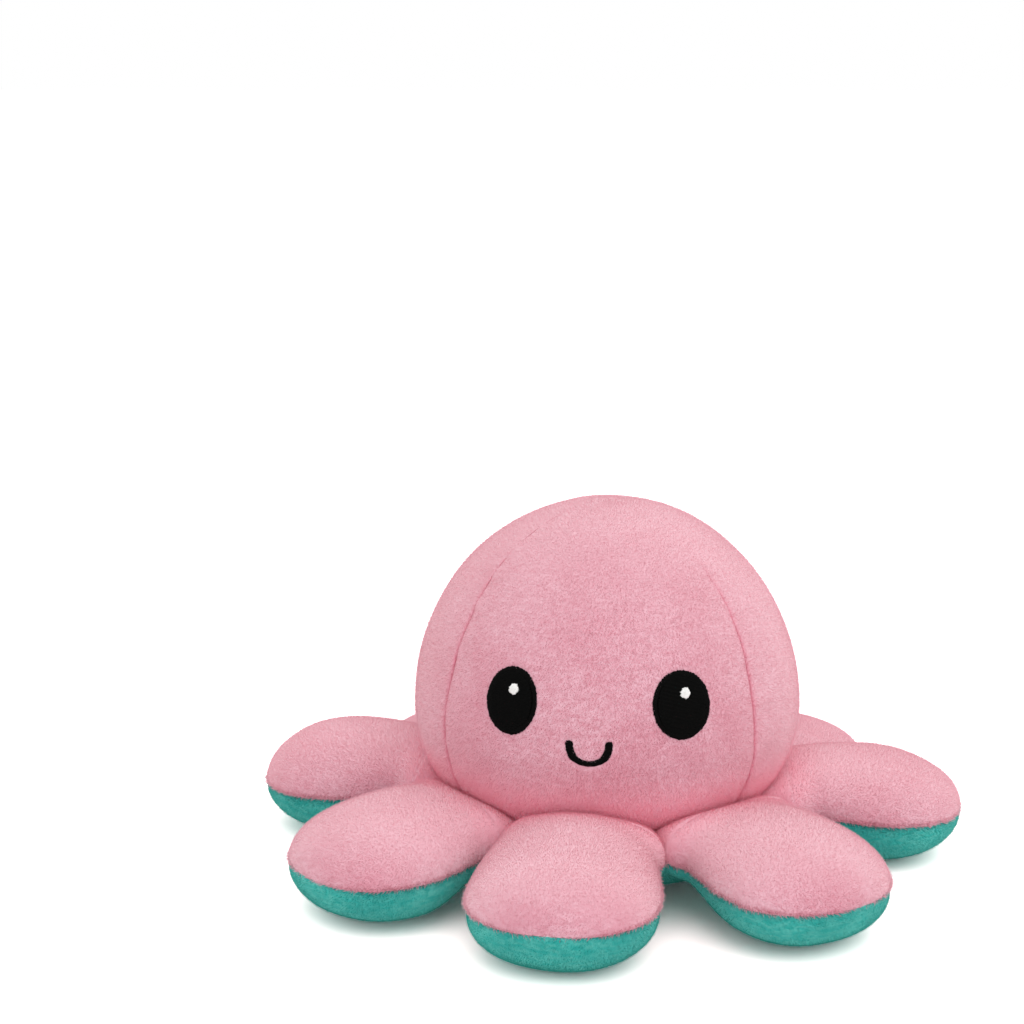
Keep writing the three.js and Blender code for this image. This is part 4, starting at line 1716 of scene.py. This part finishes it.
def grumpy_face(pocket: Pocket) -> Face:
    """The scowling face on the lining.

    Args:
        pocket: the lining that it is sewn on.

    Returns:
        The face.
    """
    slant = math.radians(14)
    left, right = (scowl(6 * MM, 6.6 * MM, sign * slant, 0.42) for sign in (1, -1))
    return Face(
        skin=pocket,
        hand=-1,
        prefix="pocket_",
        mouth="pocket_frown",
        eyes={"left": left, "right": right},
        eye_bearing=math.radians(24),
        eye_height=47 * MM,
        glint_radius=1.1 * MM,
        glint_place=(0.0, 0.0),
        mouth_bearing=0.0,
        mouth_height=33 * MM,
        mouth_half_width=4 * MM,
        mouth_depth=-4 * MM,
    )


@dataclass(frozen=True)
class Studio:
    """A plain white floor under soft light, with the camera where the photograph was taken."""

    distance: float = 600 * MM
    elevation: float = math.radians(17)
    azimuth: float = math.radians(3)
    lens: float = 73.8
    sensor: float = 36
    image: int = 1024
    anchor_height: float = 40 * MM
    anchor_pixel: tuple[float, float] = (606, 718)
    floor_size: float = 400.0
    floor_white: float = 0.92
    floor_seen: tuple[float, ...] = (2.1, 1.8, 1.8, 1.0)  # the floor as the camera sees it, lit past white
    sky_strength: float = 0.87
    suns: tuple[tuple, ...] = ((1.1, 70, (0.25, -0.35, 1.0)), (0.28, 40, (0.35, -1.0, 0.18)))

    def camera(self) -> None:
        """Places the camera so that the anchor, over the toy's middle, falls on its pixel."""
        cosine, sine = math.cos(self.elevation), math.sin(self.elevation)
        back = Vector((0, -cosine, sine))
        focal = self.lens / self.sensor * self.image
        u = (self.anchor_pixel[0] - self.image / 2) / focal
        v = (self.anchor_pixel[1] - self.image / 2) / focal
        size = math.sqrt(1 + u * u + v * v)
        pitch = math.asin(size * sine / math.sqrt(1 + v * v)) - math.atan(v)
        forward = Vector((0, math.cos(pitch), -math.sin(pitch)))
        upward = Vector((0, math.sin(pitch), math.cos(pitch)))
        ray = Vector((1, 0, 0)) * u - upward * v + forward
        swing = math.atan2(-back.x, -back.y) - math.atan2(ray.x, ray.y)
        turn = Matrix.Rotation(-swing + self.azimuth, 3, "Z")
        data = bpy.data.cameras.new("camera")
        data.lens, data.sensor_width = self.lens, self.sensor
        data.clip_start, data.clip_end = 0.01, 500
        camera = bpy.data.objects.new("camera", data)
        bpy.context.scene.collection.objects.link(camera)
        axes = Matrix((turn @ Vector((1, 0, 0)), turn @ upward, turn @ -forward)).transposed()
        place = Matrix.Rotation(self.azimuth, 3, "Z") @ back * self.distance
        place = Vector((0, 0, self.anchor_height)) + place
        camera.matrix_world = Matrix.Translation(place) @ axes.to_4x4()
        bpy.context.scene.camera = camera

    def lights(self) -> None:
        """Very soft lights from above and from the front, so wide that they light the whole floor alike."""
        for strength, angle, source in self.suns:
            data = bpy.data.lights.new("softbox", "SUN")
            data.energy, data.angle = strength, math.radians(angle)
            lamp = bpy.data.objects.new("softbox", data)
            bpy.context.scene.collection.objects.link(lamp)
            lamp.rotation_mode = "QUATERNION"
            lamp.rotation_quaternion = Vector(source).to_track_quat("Z", "Y")

    def floor(self) -> None:
        """The white table, which keeps the toy's shadow."""
        half = self.floor_size / 2
        mesh = bpy.data.meshes.new("floor")
        corners = [(-half, -half, 0), (half, -half, 0), (half, half, 0), (-half, half, 0)]
        mesh.from_pydata(corners, [], [(0, 1, 2, 3)])
        material, tree = blank_material("white_floor")
        seen = add_node(tree, "ShaderNodeLightPath").outputs["Is Camera Ray"]
        white = Plush.mixed(tree, (*[self.floor_white] * 3, 1.0), self.floor_seen, seen)
        matt = add_node(tree, "ShaderNodeBsdfDiffuse", {"Color": white})
        add_node(tree, "ShaderNodeOutputMaterial", {"Surface": matt})
        mesh.materials.append(material)
        link("floor", mesh)

    def world(self) -> None:
        """A white surround: full white to the camera, and softer as light."""
        world = bpy.data.worlds.new("surround")
        bpy.context.scene.world = world
        world.use_nodes = True
        tree = world.node_tree
        tree.nodes.clear()
        paths = add_node(tree, "ShaderNodeLightPath")
        seen = add_node(
            tree,
            "ShaderNodeMath",
            {0: paths.outputs["Is Camera Ray"], 1: paths.outputs["Is Glossy Ray"]},
            operation="MAXIMUM",
        )
        strength = add_node(
            tree, "ShaderNodeMapRange", {0: seen, 1: 0.0, 2: 1.0, 3: self.sky_strength, 4: 1.0}
        )
        light = add_node(
            tree, "ShaderNodeBackground", {"Color": (1, 1, 1, 1), "Strength": strength}
        )
        add_node(tree, "ShaderNodeOutputWorld", {"Surface": light})

    def build(self) -> None:
        """Sets up the camera, floor, surround and lamps."""
        bpy.context.scene.view_settings.view_transform = "Standard"
        self.camera()
        self.floor()
        self.world()
        self.lights()


def main() -> None:
    """Builds the toy, piece by piece, and its studio."""
    logging.basicConfig(level=logging.INFO, format="%(message)s")
    pile = Pile()
    Studio().build()
    head, pocket = Head(), Pocket()
    for skin, face in ((head, happy_face(head)), (pocket, grumpy_face(pocket))):
        skin.build(face.covered, pile)
        face.build()
    build_filling(head, pocket)
    Arms().build(pile)


if __name__ == "__main__":
    main()
